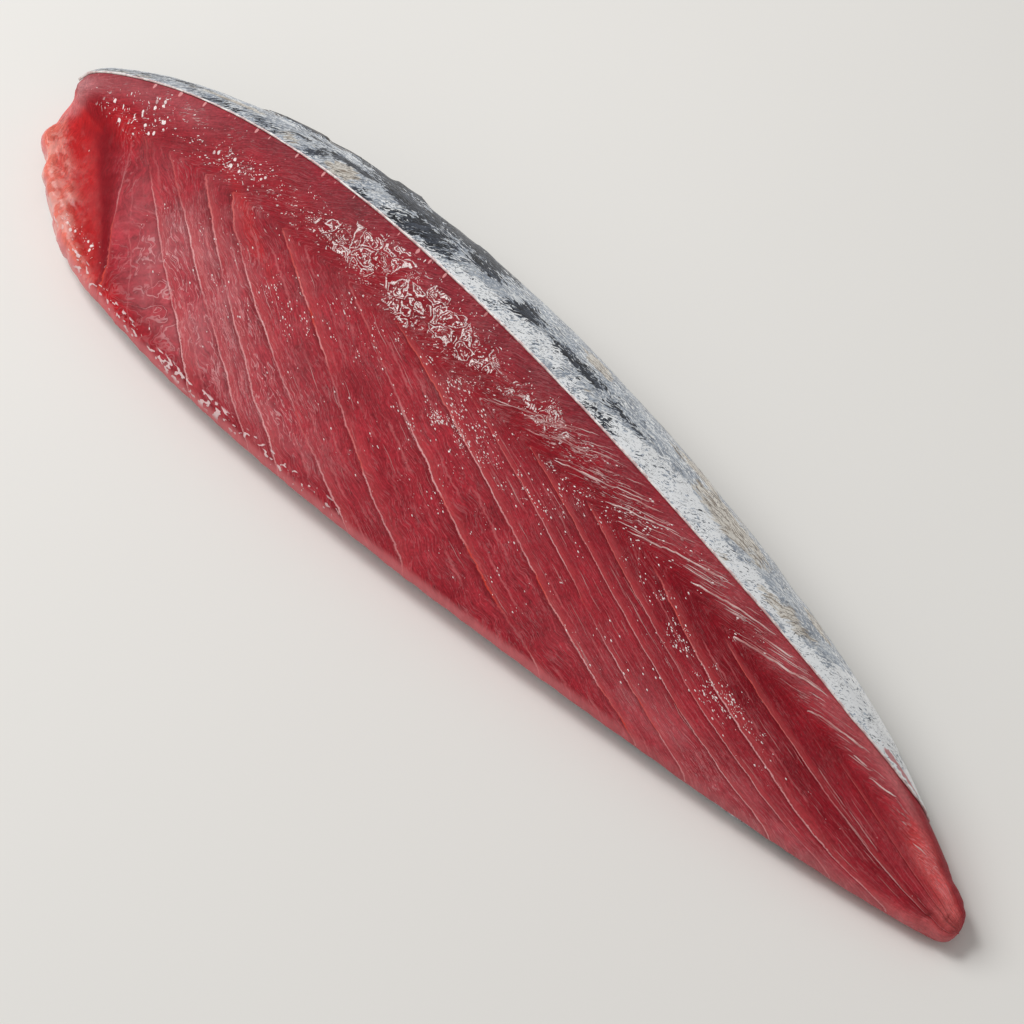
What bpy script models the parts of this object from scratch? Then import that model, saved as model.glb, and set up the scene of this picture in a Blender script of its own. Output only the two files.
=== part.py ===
"""Raw bonito fillet: one long quarter of a small tuna's side, lying on its skin with the cut face up.

The length runs along X, the blunt head end at -X and the tapering tail at +X. The cut face leans:
its high edge, the ridge, is on the far side (+Y), where the skin starts, and its low edge, a rounded
lip, is on the near side (-Y). The skin wraps the far side and the underside. Units are metres.
"""

import math

import bmesh
import bpy
from mathutils import Matrix, Vector

# Driving sizes of the whole fillet
LENGTH = 0.340
WIDTH = 0.084
HEIGHT = 0.0352

# The skin: its thickness with the fat under it, its clearance and the slanting cut that ends it
SKIN_THICKNESS = 0.0009
SKIN_GAP = 0.0003
TRIM_AT_RIDGE = 0.144
TRIM_LEAN = math.radians(46)
RIDGE_TRIM_HEIGHT = 0.018

# The cage: section rings along the length and the smoothing that rounds them
RINGS = 10
SMOOTH_LEVELS = 2
BLUNT_INSET = 0.55
BLUNT_REACH = 0.0035

# Long lines of the form as (share of the length from the head, value) pairs.
# Across values are shares of the width from the centre line, up values shares of the height.
RIDGE_ACROSS = ((0.0, 0.105), (0.08, 0.222), (0.20, 0.295), (0.32, 0.275), (0.50, 0.205),
                (0.70, 0.065), (0.90, -0.065), (1.0, -0.245))
RIDGE_UP = ((0.0, 0.52), (0.06, 0.79), (0.20, 0.97), (0.38, 1.03), (0.55, 0.98),
            (0.72, 0.84), (0.88, 0.62), (1.0, 0.32))
BULGE_ACROSS = ((0.0, 0.155), (0.03, 0.26), (0.10, 0.38), (0.21, 0.48), (0.34, 0.53), (0.50, 0.475),
                (0.66, 0.335), (0.80, 0.19), (0.91, 0.01), (1.0, -0.19))
LIP_ACROSS = ((0.0, 0.075), (0.03, -0.19), (0.09, -0.362), (0.20, -0.464), (0.35, -0.512),
              (0.50, -0.508), (0.72, -0.463), (0.90, -0.400), (1.0, -0.327))
LIP_UP = ((0.0, 0.24), (0.10, 0.33), (0.40, 0.36), (0.80, 0.28), (1.0, 0.18))

# The section, as shares of the chord from lip to ridge, of the lip's height and of the foot's width
LIP_SIDE_UP = 0.62
LIP_CREST = (0.05, 1.16)
GROOVE = (0.125, 1.06)
FACE_SHARES = (0.42, 0.75)
FACE_CROWN = 0.095
HOLLOW_DEPTH = 0.30
HOLLOW_END = 0.24
SHOULDER = (0.66, 0.84)
BULGE_UP = 0.42
FOOT_SHARES = (0.90, 0.64, 0.40, 0.16)
NEAR_WALL = (0.04, 0.20)

FLESH_COLOUR = (0.28, 0.018, 0.026)
SKIN_COLOUR = (0.36, 0.42, 0.47)


def clear_scene():
    """Remove the objects that the scene starts with."""
    for thing in list(bpy.data.objects):
        bpy.data.objects.remove(thing, do_unlink=True)


def along(keys, share):
    """Value of a long line at a share of the length: a smooth curve through its keys."""
    last = len(keys) - 2
    spot = max(i for i in range(last + 1) if keys[i][0] <= share or i == 0)
    (t0, v0), (t1, v1) = keys[spot], keys[spot + 1]

    def slope(i):
        before = keys[max(i - 1, 0)]
        after = keys[min(i + 1, len(keys) - 1)]
        return (after[1] - before[1]) / (after[0] - before[0])

    span = t1 - t0
    u = (share - t0) / span
    start = (1 + 2 * u) * (1 - u) ** 2 * v0 + u * (1 - u) ** 2 * span * slope(spot)
    end = u * u * (3 - 2 * u) * v1 - u * u * (1 - u) * span * slope(spot + 1)
    return start + end


def section(share):
    """Outline of one section as (y, z) points: lip, face, ridge, bulge, foot and near wall."""
    ridge_y = along(RIDGE_ACROSS, share) * WIDTH
    ridge_z = along(RIDGE_UP, share) * HEIGHT
    bulge_y = along(BULGE_ACROSS, share) * WIDTH
    lip_y = along(LIP_ACROSS, share) * WIDTH
    lip_z = along(LIP_UP, share) * HEIGHT
    chord = ridge_y - lip_y
    foot = bulge_y - lip_y
    hollow = HOLLOW_DEPTH * max(0.0, 1 - share / HOLLOW_END)
    points = [(lip_y, LIP_SIDE_UP * lip_z)]
    points += [(lip_y + part * chord, rise * lip_z) for part, rise in (LIP_CREST, GROOVE)]
    for part in FACE_SHARES:
        crown = (FACE_CROWN - hollow) * math.sin(math.pi * part)
        points.append((lip_y + part * chord, lip_z + (part + crown) * (ridge_z - lip_z)))
    points.append((ridge_y, ridge_z))
    points.append((ridge_y + SHOULDER[0] * (bulge_y - ridge_y), SHOULDER[1] * ridge_z))
    points.append((bulge_y, BULGE_UP * ridge_z))
    points += [(lip_y + part * foot, 0.0) for part in FOOT_SHARES]
    points.append((lip_y + NEAR_WALL[0] * foot, NEAR_WALL[1] * lip_z))
    return points


RIDGE_POINT = 3 + len(FACE_SHARES)


def ring_points(share, x):
    """Corners of the cage ring at one place along the length."""
    return [Vector((x, y, z)) for y, z in section(share)]


def blunt_ring(ring, outward):
    """A smaller ring just past an end ring, which gives the cut end its rounded edge."""
    centre = sum(ring, Vector()) / len(ring)
    step = Vector((outward * BLUNT_REACH, 0, 0))
    return [centre.lerp(corner, BLUNT_INSET) + step for corner in ring]


def cage_rings():
    """All rings from head to tail, closer together towards both ends."""
    rings = []
    for i in range(RINGS):
        share = 0.5 - 0.5 * math.cos(math.pi * i / (RINGS - 1))
        rings.append(ring_points(share, (share - 0.5) * (LENGTH - 2 * BLUNT_REACH)))
    rings.insert(0, blunt_ring(rings[0], -1))
    rings.append(blunt_ring(rings[-1], 1))
    return rings


def plain_material(name, colour, roughness, metallic):
    """A Principled material of one colour."""
    material = bpy.data.materials.new(name)
    material.use_nodes = True
    shader = material.node_tree.nodes["Principled BSDF"]
    shader.inputs["Base Color"].default_value = (*colour, 1.0)
    shader.inputs["Roughness"].default_value = roughness
    shader.inputs["Metallic"].default_value = metallic
    material.diffuse_color = (*colour, 1.0)
    return material


def add_object(name, mesh, collection, material):
    """Put a mesh in the collection as a named, smooth-shaded object."""
    mesh.materials.clear()
    mesh.materials.append(material)
    for face in mesh.polygons:
        face.use_smooth = True
    thing = bpy.data.objects.new(name, mesh)
    collection.objects.link(thing)
    return thing


def flesh_cage():
    """Closed coarse cage of the muscle, its ridge creased and its skin side marked."""
    rings = cage_rings()
    cage = bmesh.new()
    crease = cage.edges.layers.float.new("crease_edge")
    under_skin = cage.faces.layers.int.new("under_skin")
    grid = [[cage.verts.new(corner) for corner in ring] for ring in rings]
    around = len(grid[0])
    for row, (ring, following) in enumerate(zip(grid, grid[1:])):
        for i in range(around):
            j = (i + 1) % around
            face = cage.faces.new((ring[i], following[i], following[j], ring[j]))
            between_ends = 0 < row < len(grid) - 2
            face[under_skin] = int(RIDGE_POINT <= i < around - 1 and between_ends)
    cage.faces.new(grid[0])
    cage.faces.new(list(reversed(grid[-1])))
    for ring, following in list(zip(grid, grid[1:]))[1:-1]:
        edge = cage.edges.get((ring[RIDGE_POINT], following[RIDGE_POINT]))
        edge[crease] = 1.0
    bmesh.ops.recalc_face_normals(cage, faces=cage.faces)
    mesh = bpy.data.meshes.new("flesh")
    cage.to_mesh(mesh)
    cage.free()
    return mesh


def make_flesh(collection):
    """The muscle: a coarse cage rounded by Subdivision Surface."""
    material = plain_material("raw red flesh", FLESH_COLOUR, 0.35, 0.0)
    flesh = add_object("flesh", flesh_cage(), collection, material)
    smooth = flesh.modifiers.new("round", "SUBSURF")
    smooth.levels = SMOOTH_LEVELS
    smooth.render_levels = SMOOTH_LEVELS
    return flesh


def skin_sheet(flesh):
    """The skin side of the finished muscle as an open surface."""
    bpy.context.view_layer.update()
    solid = flesh.evaluated_get(bpy.context.evaluated_depsgraph_get())
    mesh = bpy.data.meshes.new_from_object(solid)
    mesh.name = "skin"
    sheet = bmesh.new()
    sheet.from_mesh(mesh)
    under_skin = sheet.faces.layers.int["under_skin"]
    bare = [face for face in sheet.faces if not face[under_skin]]
    bmesh.ops.delete(sheet, geom=bare, context="FACES")
    sheet.to_mesh(mesh)
    sheet.free()
    return mesh


def trimming_block(collection):
    """Cutter past the slanting line where the knife took the skin off the tail."""
    bpy.ops.mesh.primitive_cube_add(size=LENGTH)
    block = bpy.context.object
    block.name = "tail_trim"
    for group in list(block.users_collection):
        group.objects.unlink(block)
    collection.objects.link(block)
    turn = Matrix.Rotation(TRIM_LEAN, 4, "Y")
    ridge_spot = Vector((TRIM_AT_RIDGE, 0, RIDGE_TRIM_HEIGHT))
    middle = ridge_spot + turn @ Vector((LENGTH / 2, 0, 0))
    block.matrix_world = Matrix.Translation(middle) @ turn
    block.display_type = "WIRE"
    block.hide_render = True
    return block


def make_skin(flesh, collection, cutters):
    """The skin: the muscle's outer side, stood off by the gap and thickened outwards."""
    material = plain_material("silver skin", SKIN_COLOUR, 0.35, 0.3)
    skin = add_object("skin", skin_sheet(flesh), collection, material)
    stand_off = skin.modifiers.new("gap", "DISPLACE")
    stand_off.strength = SKIN_GAP
    stand_off.mid_level = 0.0
    shell = skin.modifiers.new("thickness", "SOLIDIFY")
    shell.thickness = SKIN_THICKNESS
    shell.offset = 1.0
    trim = skin.modifiers.new("tail trim", "BOOLEAN")
    trim.operation = "DIFFERENCE"
    trim.solver = "EXACT"
    trim.object = trimming_block(cutters)
    return skin


def outer_box(things):
    """Lowest and highest corner of the evaluated objects together."""
    bpy.context.view_layer.update()
    depsgraph = bpy.context.evaluated_depsgraph_get()
    corners = []
    for thing in things:
        mesh = thing.evaluated_get(depsgraph).to_mesh()
        corners += [thing.matrix_world @ vertex.co for vertex in mesh.vertices]
        thing.evaluated_get(depsgraph).to_mesh_clear()
    low = Vector([min(corner[axis] for corner in corners) for axis in range(3)])
    high = Vector([max(corner[axis] for corner in corners) for axis in range(3)])
    return low, high


def stand_on_ground(things):
    """Move the meshes so that the fillet rests at height 0 with its box centred on the origin."""
    low, high = outer_box(things)
    middle = (low + high) / 2
    shift = Matrix.Translation((-middle.x, -middle.y, -low.z))
    for thing in things:
        thing.data.transform(shift)


def main():
    clear_scene()
    collection = bpy.data.collections.new("bonito_fillet")
    bpy.context.scene.collection.children.link(collection)
    flesh = make_flesh(collection)
    cutters = bpy.data.collections.new("cutters")
    bpy.context.scene.collection.children.link(cutters)
    skin = make_skin(flesh, collection, cutters)
    stand_on_ground([flesh, skin])


main()
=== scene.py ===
# %% [markdown]
# # A raw bonito fillet
# A bonito fillet is one long loin of dark red fish, cut from the bone on one side and still in
# its silver skin on the other. This notebook takes the plain solids of the flesh and the skin,
# and builds over them what the eye looks for: muscle bands in chevrons, pale threads between
# them, wet lumps, a ragged head end, a soft tail and mottled skin.

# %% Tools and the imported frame
import math

import bpy
import numpy as np
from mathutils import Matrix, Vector


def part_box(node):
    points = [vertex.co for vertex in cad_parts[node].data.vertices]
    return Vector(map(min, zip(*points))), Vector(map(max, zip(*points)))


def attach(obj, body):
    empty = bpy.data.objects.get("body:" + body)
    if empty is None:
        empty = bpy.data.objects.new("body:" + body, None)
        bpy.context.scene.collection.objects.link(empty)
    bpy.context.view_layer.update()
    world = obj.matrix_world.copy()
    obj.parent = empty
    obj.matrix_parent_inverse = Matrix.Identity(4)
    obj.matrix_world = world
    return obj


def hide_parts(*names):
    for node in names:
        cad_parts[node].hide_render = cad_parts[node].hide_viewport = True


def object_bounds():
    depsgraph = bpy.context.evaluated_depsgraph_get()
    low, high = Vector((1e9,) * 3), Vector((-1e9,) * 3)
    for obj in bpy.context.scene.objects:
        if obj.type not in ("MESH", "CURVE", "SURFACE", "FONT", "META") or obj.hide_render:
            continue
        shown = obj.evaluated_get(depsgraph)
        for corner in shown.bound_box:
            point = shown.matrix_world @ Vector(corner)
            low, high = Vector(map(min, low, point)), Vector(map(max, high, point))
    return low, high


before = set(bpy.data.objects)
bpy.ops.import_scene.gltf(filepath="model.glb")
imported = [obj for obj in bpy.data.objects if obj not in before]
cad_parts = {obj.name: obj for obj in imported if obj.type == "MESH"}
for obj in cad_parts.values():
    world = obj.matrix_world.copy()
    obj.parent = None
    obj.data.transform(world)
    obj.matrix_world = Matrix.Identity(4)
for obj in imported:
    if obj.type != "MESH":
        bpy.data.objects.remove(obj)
cad_low, cad_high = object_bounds()
MM = 0.001


def add_object(name, data):
    """A new object in the scene that shows this data."""
    thing = bpy.data.objects.new(name, data)
    bpy.context.scene.collection.objects.link(thing)
    return thing


print("frame box in mm:", [round(v / MM, 1) for v in (*cad_low, *cad_high)])

# %% [markdown]
# ## Camera, light and floor
# Fish is sold on a pale counter under a soft light, so the stage is a plain pale floor. One big
# soft lamp over the head end gives the light from the side, a smaller one high up makes the wet
# spots shine, and a pale world fills the shadows. Camera and lamps are placed from the middle of
# the frame's box, so they stay right if the part is packed again.

# %% Camera
VIEW_TURN = math.radians(41.99)
VIEW_RISE = math.radians(60.0)
VIEW_DISTANCE = 0.7512
LENS = 103.9
middle = (cad_low + cad_high) / 2
AIM_SHIFT = Vector((0.01634, -0.0109, -0.00490))


def direction(turn, rise):
    """A unit vector for an angle round the part and an angle above the floor."""
    flat = math.cos(rise)
    return Vector((math.sin(turn) * flat, -math.cos(turn) * flat, math.sin(rise)))


def place_camera():
    data = bpy.data.cameras.new("camera")
    data.lens = LENS
    data.clip_start = 0.01
    camera = add_object("camera", data)
    back = direction(VIEW_TURN, VIEW_RISE)
    camera.location = middle + AIM_SHIFT + back * VIEW_DISTANCE
    camera.rotation_mode = "QUATERNION"
    camera.rotation_quaternion = (-back).to_track_quat("-Z", "Y")
    bpy.context.scene.camera = camera


place_camera()
print("camera at", [round(v, 3) for v in bpy.context.scene.camera.location])

# %% Lamps and world
# name, the way to it from the fillet, distance and width in metres, power in watts
LAMPS = (("big soft lamp", (-0.65, -0.10, 0.75), 1.3, 0.80, 7.7),
         ("wet light lamp", (-0.39, -0.04, 0.92), 1.1, 0.30, 2.8))
WORLD_TONE = (1.0, 0.99, 0.975, 1.0)
WORLD_STRENGTH = 0.37


def soft_lamp(name, toward, distance, size, power):
    data = bpy.data.lights.new(name, "AREA")
    data.shape = "DISK"
    data.size = size
    data.energy = power
    lamp = add_object(name, data)
    toward = Vector(toward).normalized()
    lamp.location = middle + toward * distance
    lamp.rotation_mode = "QUATERNION"
    lamp.rotation_quaternion = toward.to_track_quat("Z", "Y")


def pale_world():
    world = bpy.data.worlds.new("studio")
    world.use_nodes = True
    shade = world.node_tree.nodes["Background"]
    shade.inputs["Color"].default_value = WORLD_TONE
    shade.inputs["Strength"].default_value = WORLD_STRENGTH
    bpy.context.scene.world = world


for lamp in LAMPS:
    soft_lamp(*lamp)
pale_world()
bpy.context.scene.view_settings.view_transform = "Standard"

# %% [markdown]
# ## Small helpers for node trees
# Every material and every geometry tree below is made of nodes, and most of the nodes do plain
# sums. Added one by one they would hide the idea, so a small class holds an output socket and
# lets it be added, multiplied and compared like a number. Each sum adds its own Math node, and a
# formula in the script reads like a formula.

# %% Nodes and sums
def fill(node, inputs):
    """Links or sets the inputs of a node, by their names or places."""
    for key, value in inputs.items():
        if isinstance(value, Value):
            node.id_data.links.new(value.socket, node.inputs[key])
        else:
            node.inputs[key].default_value = value


def add_node(tree, kind, inputs=None, **settings):
    """A node with its settings, and its inputs either linked or given a value."""
    node = tree.nodes.new(kind)
    for name, value in settings.items():
        setattr(node, name, value)
    fill(node, inputs or {})
    return node


def output(tree, kind, inputs=None, **settings):
    """The first output of one new node, ready for sums."""
    return Value(add_node(tree, kind, inputs, **settings).outputs[0])


class Value:
    """An output socket that can be used in sums. A vector is reckoned with as a vector."""

    def __init__(self, socket):
        self.socket, self.tree = socket, socket.id_data

    def calc(self, operation, *values):
        vector = self.socket.type in ("VECTOR", "RGBA")
        kind = "ShaderNodeVectorMath" if vector else "ShaderNodeMath"
        return output(self.tree, kind, dict(enumerate(values)), operation=operation)

    def __abs__(self):
        return self.calc("ABSOLUTE", self)


def sum_method(operation, swapped):
    """One arithmetic sign of the class, with the value left of the sign or right of it."""
    if swapped:
        return lambda self, other: self.calc(operation, other, self)
    return lambda self, other: self.calc(operation, self, other)


SIGNS = {"add": "ADD", "sub": "SUBTRACT", "mul": "MULTIPLY", "truediv": "DIVIDE", "pow": "POWER"}
for sign, operation in SIGNS.items():
    setattr(Value, f"__{sign}__", sum_method(operation, False))
    setattr(Value, f"__r{sign}__", sum_method(operation, True))
Value.__gt__ = sum_method("GREATER_THAN", False)
print("signs that make a Math node:", ", ".join(SIGNS.values()), "and GREATER_THAN")


# %% Functions for the sums
def larger(a, b):
    return a.calc("MAXIMUM", a, b)


def fraction(value):
    return value.calc("FRACT", value)


def nearest(value):
    return value.calc("ROUND", value)


def clamped(value):
    """The same sum, held between 0 and 1."""
    value.socket.node.use_clamp = True
    return value


def joined(x, y=0.0):
    """Two numbers as a flat vector."""
    return output(x.tree, "ShaderNodeCombineXYZ", {0: x, 1: y})


def split(vector):
    return [Value(s) for s in add_node(vector.tree, "ShaderNodeSeparateXYZ", {0: vector}).outputs]


def scaled(vector, by):
    return output(by.tree, "ShaderNodeVectorMath", {0: vector, "Scale": by}, operation="SCALE")


def mix(share, a, b):
    """Colour a with a share of colour b laid over it."""
    node = add_node(share.tree, "ShaderNodeMix", data_type="RGBA", clamp_factor=True)
    place = {s.identifier: k for k, s in enumerate(node.inputs)}
    fill(node, {place["Factor_Float"]: share, place["A_Color"]: rgba(a), place["B_Color"]: rgba(b)})
    return Value(next(s for s in node.outputs if s.identifier == "Result_Color"))


def spread(value, low, high, to_low=0.0, to_high=1.0, kind="SMOOTHSTEP"):
    """The value's range from low to high, taken to another range and clamped."""
    inputs = {"Value": value, "From Min": low, "From Max": high,
              "To Min": to_low, "To Max": to_high}
    return output(value.tree, "ShaderNodeMapRange", inputs, interpolation_type=kind)


def between(value, rise_low, rise_high, fall_high, fall_low):
    """Rises from 0 to 1, stays there and falls back to 0."""
    return spread(value, rise_low, rise_high) * spread(value, fall_high, fall_low)


def grain(where, scale, detail=2.0, roughness=0.5, distortion=0.0):
    inputs = {"Vector": where, "Scale": scale, "Detail": detail, "Roughness": roughness,
              "Distortion": distortion}
    return Value(add_node(where.tree, "ShaderNodeTexNoise", inputs).outputs["Fac"])


def swirled(vector, where, scale, amount):
    """A vector shifted by soft noise, by up to this amount on each axis."""
    noise = add_node(where.tree, "ShaderNodeTexNoise", {"Vector": where, "Scale": scale})
    return vector + Value(noise.outputs["Color"]) * amount


def cells(where, scale, feature="F1"):
    """Random cells: the distance inside each cell, then a random colour for the cell."""
    inputs = {"Vector": where, "Scale": scale}
    node = add_node(where.tree, "ShaderNodeTexVoronoi", inputs, feature=feature)
    return [Value(s) for s in node.outputs][:2]


# %% Materials
def rgba(colour):
    """An sRGB colour of 0 to 255 numbers as the linear colour that a node takes."""
    if isinstance(colour, Value):
        return colour
    shares = [c / 255 for c in colour]
    return (*[c / 12.92 if c <= 0.04045 else ((c + 0.055) / 1.055) ** 2.4 for c in shares], 1.0)


def new_material(name):
    """An empty Principled material: its tree and its shader node."""
    material = bpy.data.materials.new(name)
    material.use_nodes = True
    return material, material.node_tree, material.node_tree.nodes["Principled BSDF"]


def object_place(tree):
    return Value(add_node(tree, "ShaderNodeTexCoord").outputs["Object"])


def read(tree, name, part="Vector"):
    """A value stored in the mesh, read by its name."""
    return Value(add_node(tree, "ShaderNodeAttribute", attribute_name=name).outputs[part])


def bumps(height, distance, strength):
    """A bent normal for fine relief that needs no faces."""
    inputs = {"Height": height, "Distance": distance, "Strength": strength}
    return output(height.tree, "ShaderNodeBump", inputs)


print("a mid grey as a node takes it:", [round(c, 3) for c in rgba((128, 128, 128))])

# %% Floor
FLOOR_TONE = (239, 237, 233)
FLOOR_CLOUD = tuple(c - 3 for c in FLOOR_TONE)


def floor_material():
    material, tree, shader = new_material("pale floor")
    cloud = grain(object_place(tree), 3.0, 3.0)
    paper = mix(spread(cloud, 0.3, 0.7), FLOOR_TONE, FLOOR_CLOUD)
    fill(shader, {"Base Color": paper, "Roughness": 0.85, "Specular IOR Level": 0.1})
    return material


def lay_floor(reach=6.0):
    mesh = bpy.data.meshes.new("floor")
    corners = [(-reach, -reach, 0), (reach, -reach, 0), (reach, reach, 0), (-reach, reach, 0)]
    mesh.from_pydata(corners, [], [(0, 1, 2, 3)])
    mesh.materials.append(floor_material())
    floor = add_object("floor", mesh)


lay_floor()
print("floor laid at z = 0")

# %% [markdown]
# ## The fillet as a grid
# The solid from the CAD has big flat facets. The flesh needs a fine, even skin of faces that
# runs along and across the loin, so that bands and lumps can follow it. A remesh would give even
# faces with no direction, so the solid is sliced instead: each slice is one ring of points, from
# the lip over the cut face to the ridge and back underneath. The rings are joined into a tube.

# %% Slicing the solid
STATIONS = 560
FACE_STEPS = 130
BACK_STEPS = 40
FINE_BACK = 200     # steps round the back before it is thinned for the flesh
BACK_CROWD = 1.5    # above 1 the steps crowd towards the lip
NUDGE = 2e-6        # keeps a slice off the solid's own corners
END_GAP = 4e-5      # from the solid's ends to the first and last slice
HEART_RISE = 0.33   # how far up a slice its heart lies, as a share of its height
CLOSER = 0.12       # how much closer the slices stand at the two ends
END_REACH = (0.004, 0.016)      # where the light smoothing of the ends stops, and its fade
ROUND_SMOOTH, END_SMOOTH, LONG_SMOOTH = 2.2, 1.5, 9.0


def edge_ends(name):
    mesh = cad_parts[name].data
    points = np.empty(len(mesh.vertices) * 3)
    mesh.vertices.foreach_get("co", points)
    edges = np.empty(len(mesh.edges) * 2, int)
    mesh.edges.foreach_get("vertices", edges)
    return points.reshape(-1, 3)[edges.reshape(-1, 2)]


def slice_at(ends, x):
    """Where the edges cross the plane at x, as (y, z) points."""
    a, b = ends[:, 0], ends[:, 1]
    crossing = (a[:, 0] - x) * (b[:, 0] - x) < 0
    a, b = a[crossing], b[crossing]
    share = ((x - a[:, 0]) / (b[:, 0] - a[:, 0]))[:, None]
    return (a + (b - a) * share)[:, 1:]


def resample(path, shares):
    """Points along a path at shares of its length."""
    steps = np.hypot(*np.diff(path, axis=0).T)
    run = np.concatenate(([0], np.cumsum(steps)))
    run /= run[-1]
    return np.column_stack([np.interp(shares, run, path[:, k]) for k in (0, 1)])


def ring_at(ends, x):
    """One ring: the cut face from lip to ridge, then the back from ridge to lip."""
    points = slice_at(ends, x)
    lip, ridge = points[points[:, 0].argmin()], points[points[:, 1].argmax()]
    low, high = points.min(0), points.max(0)
    heart = np.array(((low[0] + high[0]) / 2, low[1] + HEART_RISE * (high[1] - low[1])))

    def angle_from_lip(p):
        turned = [np.arctan2(q[..., 1] - heart[1], q[..., 0] - heart[0]) for q in (lip, p)]
        return (turned[0] - turned[1]) % (2 * math.pi)

    angle = angle_from_lip(points)
    order = np.argsort(angle)
    points, angle = points[order], angle[order]
    to_ridge = angle_from_lip(ridge)
    face = np.vstack((lip, points[(angle > 0) & (angle < to_ridge)], ridge))
    back = np.vstack((ridge, points[angle > to_ridge], lip))
    return [resample(path, np.linspace(0, 1, steps + 1))
            for path, steps in ((face, FACE_STEPS), (back, FINE_BACK))]


def unit(values):
    """The values held between 0 and 1."""
    return np.clip(values, 0, 1)


def soften(values, sigma, axis):
    """Gaussian smoothing along one axis of a grid that leaves its two ends in place."""
    reach = int(3 * sigma) + 1
    kernel = np.exp(-0.5 * (np.arange(-reach, reach + 1) / sigma) ** 2)
    kernel /= kernel.sum()
    pad = [(0, 0)] * values.ndim
    pad[axis] = (reach, reach)
    wide = np.pad(values, pad, mode="reflect", reflect_type="odd")
    return np.apply_along_axis(lambda v: np.convolve(v, kernel, "valid"), axis, wide)


def slice_flesh():
    low, high = (v.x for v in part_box("flesh"))
    even = np.linspace(0, 1, STATIONS + 1)
    shares = (1 - CLOSER) * even + CLOSER * (1 - np.cos(math.pi * even)) / 2
    stations = low + END_GAP + (high - low - 2 * END_GAP) * shares
    ends = edge_ends("flesh")
    rings = [ring_at(ends, x + NUDGE) for x in stations]
    to_end = np.minimum(stations - low, high - stations)[:, None, None]
    inner = unit((to_end - END_REACH[0]) / END_REACH[1])
    smooth = []
    for side in (0, 1):
        part = soften(np.array([r[side] for r in rings]), ROUND_SMOOTH, 1)
        ends, middle = (soften(part, reach, 0) for reach in (END_SMOOTH, LONG_SMOOTH))
        smooth.append(ends * (1 - inner) + middle * inner)
    return stations, *smooth


def thin_back(fine):
    """Fewer steps round the back, close together only where they show, below the lip."""
    shares = 1 - (1 - np.linspace(0, 1, BACK_STEPS + 1)) ** BACK_CROWD
    place = shares * FINE_BACK
    low = np.minimum(place.astype(int), FINE_BACK - 1)
    part = (place - low)[:, None]
    return fine[:, low] * (1 - part) + fine[:, low + 1] * part


stations, face, fine_back = slice_flesh()
back = thin_back(fine_back)
print("sliced", len(stations), "rings of", FACE_STEPS + BACK_STEPS, "points")

# %% [markdown]
# ## Coordinates that follow the muscle
# Fish muscle is built of bands. On a cut face their edges show as chevrons whose tips point to
# the head, with long arms to the lip and short ones to the skin. So each point of the flesh gets
# its place along the loin, its place across it from lip (0) to ridge (1), and the number of the
# band it lies in. Band edges are then simple to draw, and fibres can run along the bands.

# %% Place along and across
NARROWEST = 0.004       # the face counts as at least this wide at the two ends


def run_length(path):
    """Distance from the first point of every path in a grid of paths."""
    steps = np.linalg.norm(np.diff(path, axis=1), axis=2)
    return np.concatenate((np.zeros((len(path), 1)), np.cumsum(steps, axis=1)), axis=1)


def lay_out():
    """Ring points, with x in mm and the place across for each."""
    width = np.maximum(face[:, -1, 0] - face[:, 0, 0], NARROWEST)[:, None]
    across_face = (face[:, :, 0] - face[:, :1, 0]) / width
    across_face[:, 0], across_face[:, -1] = 0, 1
    around = run_length(back)
    whole = around[:, -1:]
    from_ridge = 1 + around / width
    from_lip = -(whole - around) / width
    across_back = np.where(around < 0.5 * whole, from_ridge, from_lip)
    sides = np.concatenate((face, back[:, 1:-1]), axis=1)
    across = np.concatenate((across_face, across_back[:, 1:-1]), axis=1)
    along = np.repeat(stations[:, None], sides.shape[1], axis=1)
    return np.dstack((along, sides)), along / MM, across, width / MM


points, along, across, width = lay_out()
ROUND = points.shape[1]
print("flesh grid:", points.shape[:2], "widest face in mm:", round(float(width.max()), 1))

# %% Smooth random lumps
# the sine of a place times these odd numbers jumps about like a random draw, but never changes
ODD_STEPS, ODD_SEED, ODD_SIZE = (12.9898, 78.233, 37.719), 5.17, 43758.5453


def lumps(where, size, seed=0.0):
    """Smooth random values from 0 to 1, in lumps of this size, at an array of places."""
    cell = np.asarray(where, float) / size
    base = np.floor(cell)
    share = cell - base
    share = share * share * (3 - 2 * share)
    total = 0.0
    axes = cell.shape[-1]
    for corner in range(2 ** axes):
        step = np.array([(corner >> k) & 1 for k in range(axes)])
        key = ((base + step) * ODD_STEPS[:axes]).sum(-1) + seed * ODD_SEED
        value = np.modf(np.abs(np.sin(key) * ODD_SIZE))[0]
        total = total + value * np.prod(np.where(step, share, 1 - share), axis=-1)
    return total


def cloud(where, size, seed=0.0, layers=3):
    """Lumps at several sizes at once, from about -1 to 1."""
    parts = [(0.5 ** k, lumps(where, size * 0.5 ** k, seed + 7.3 * k)) for k in range(layers)]
    total = sum(weight * value for weight, value in parts) / sum(weight for weight, _ in parts)
    return 2.4 * (total - 0.5)


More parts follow.
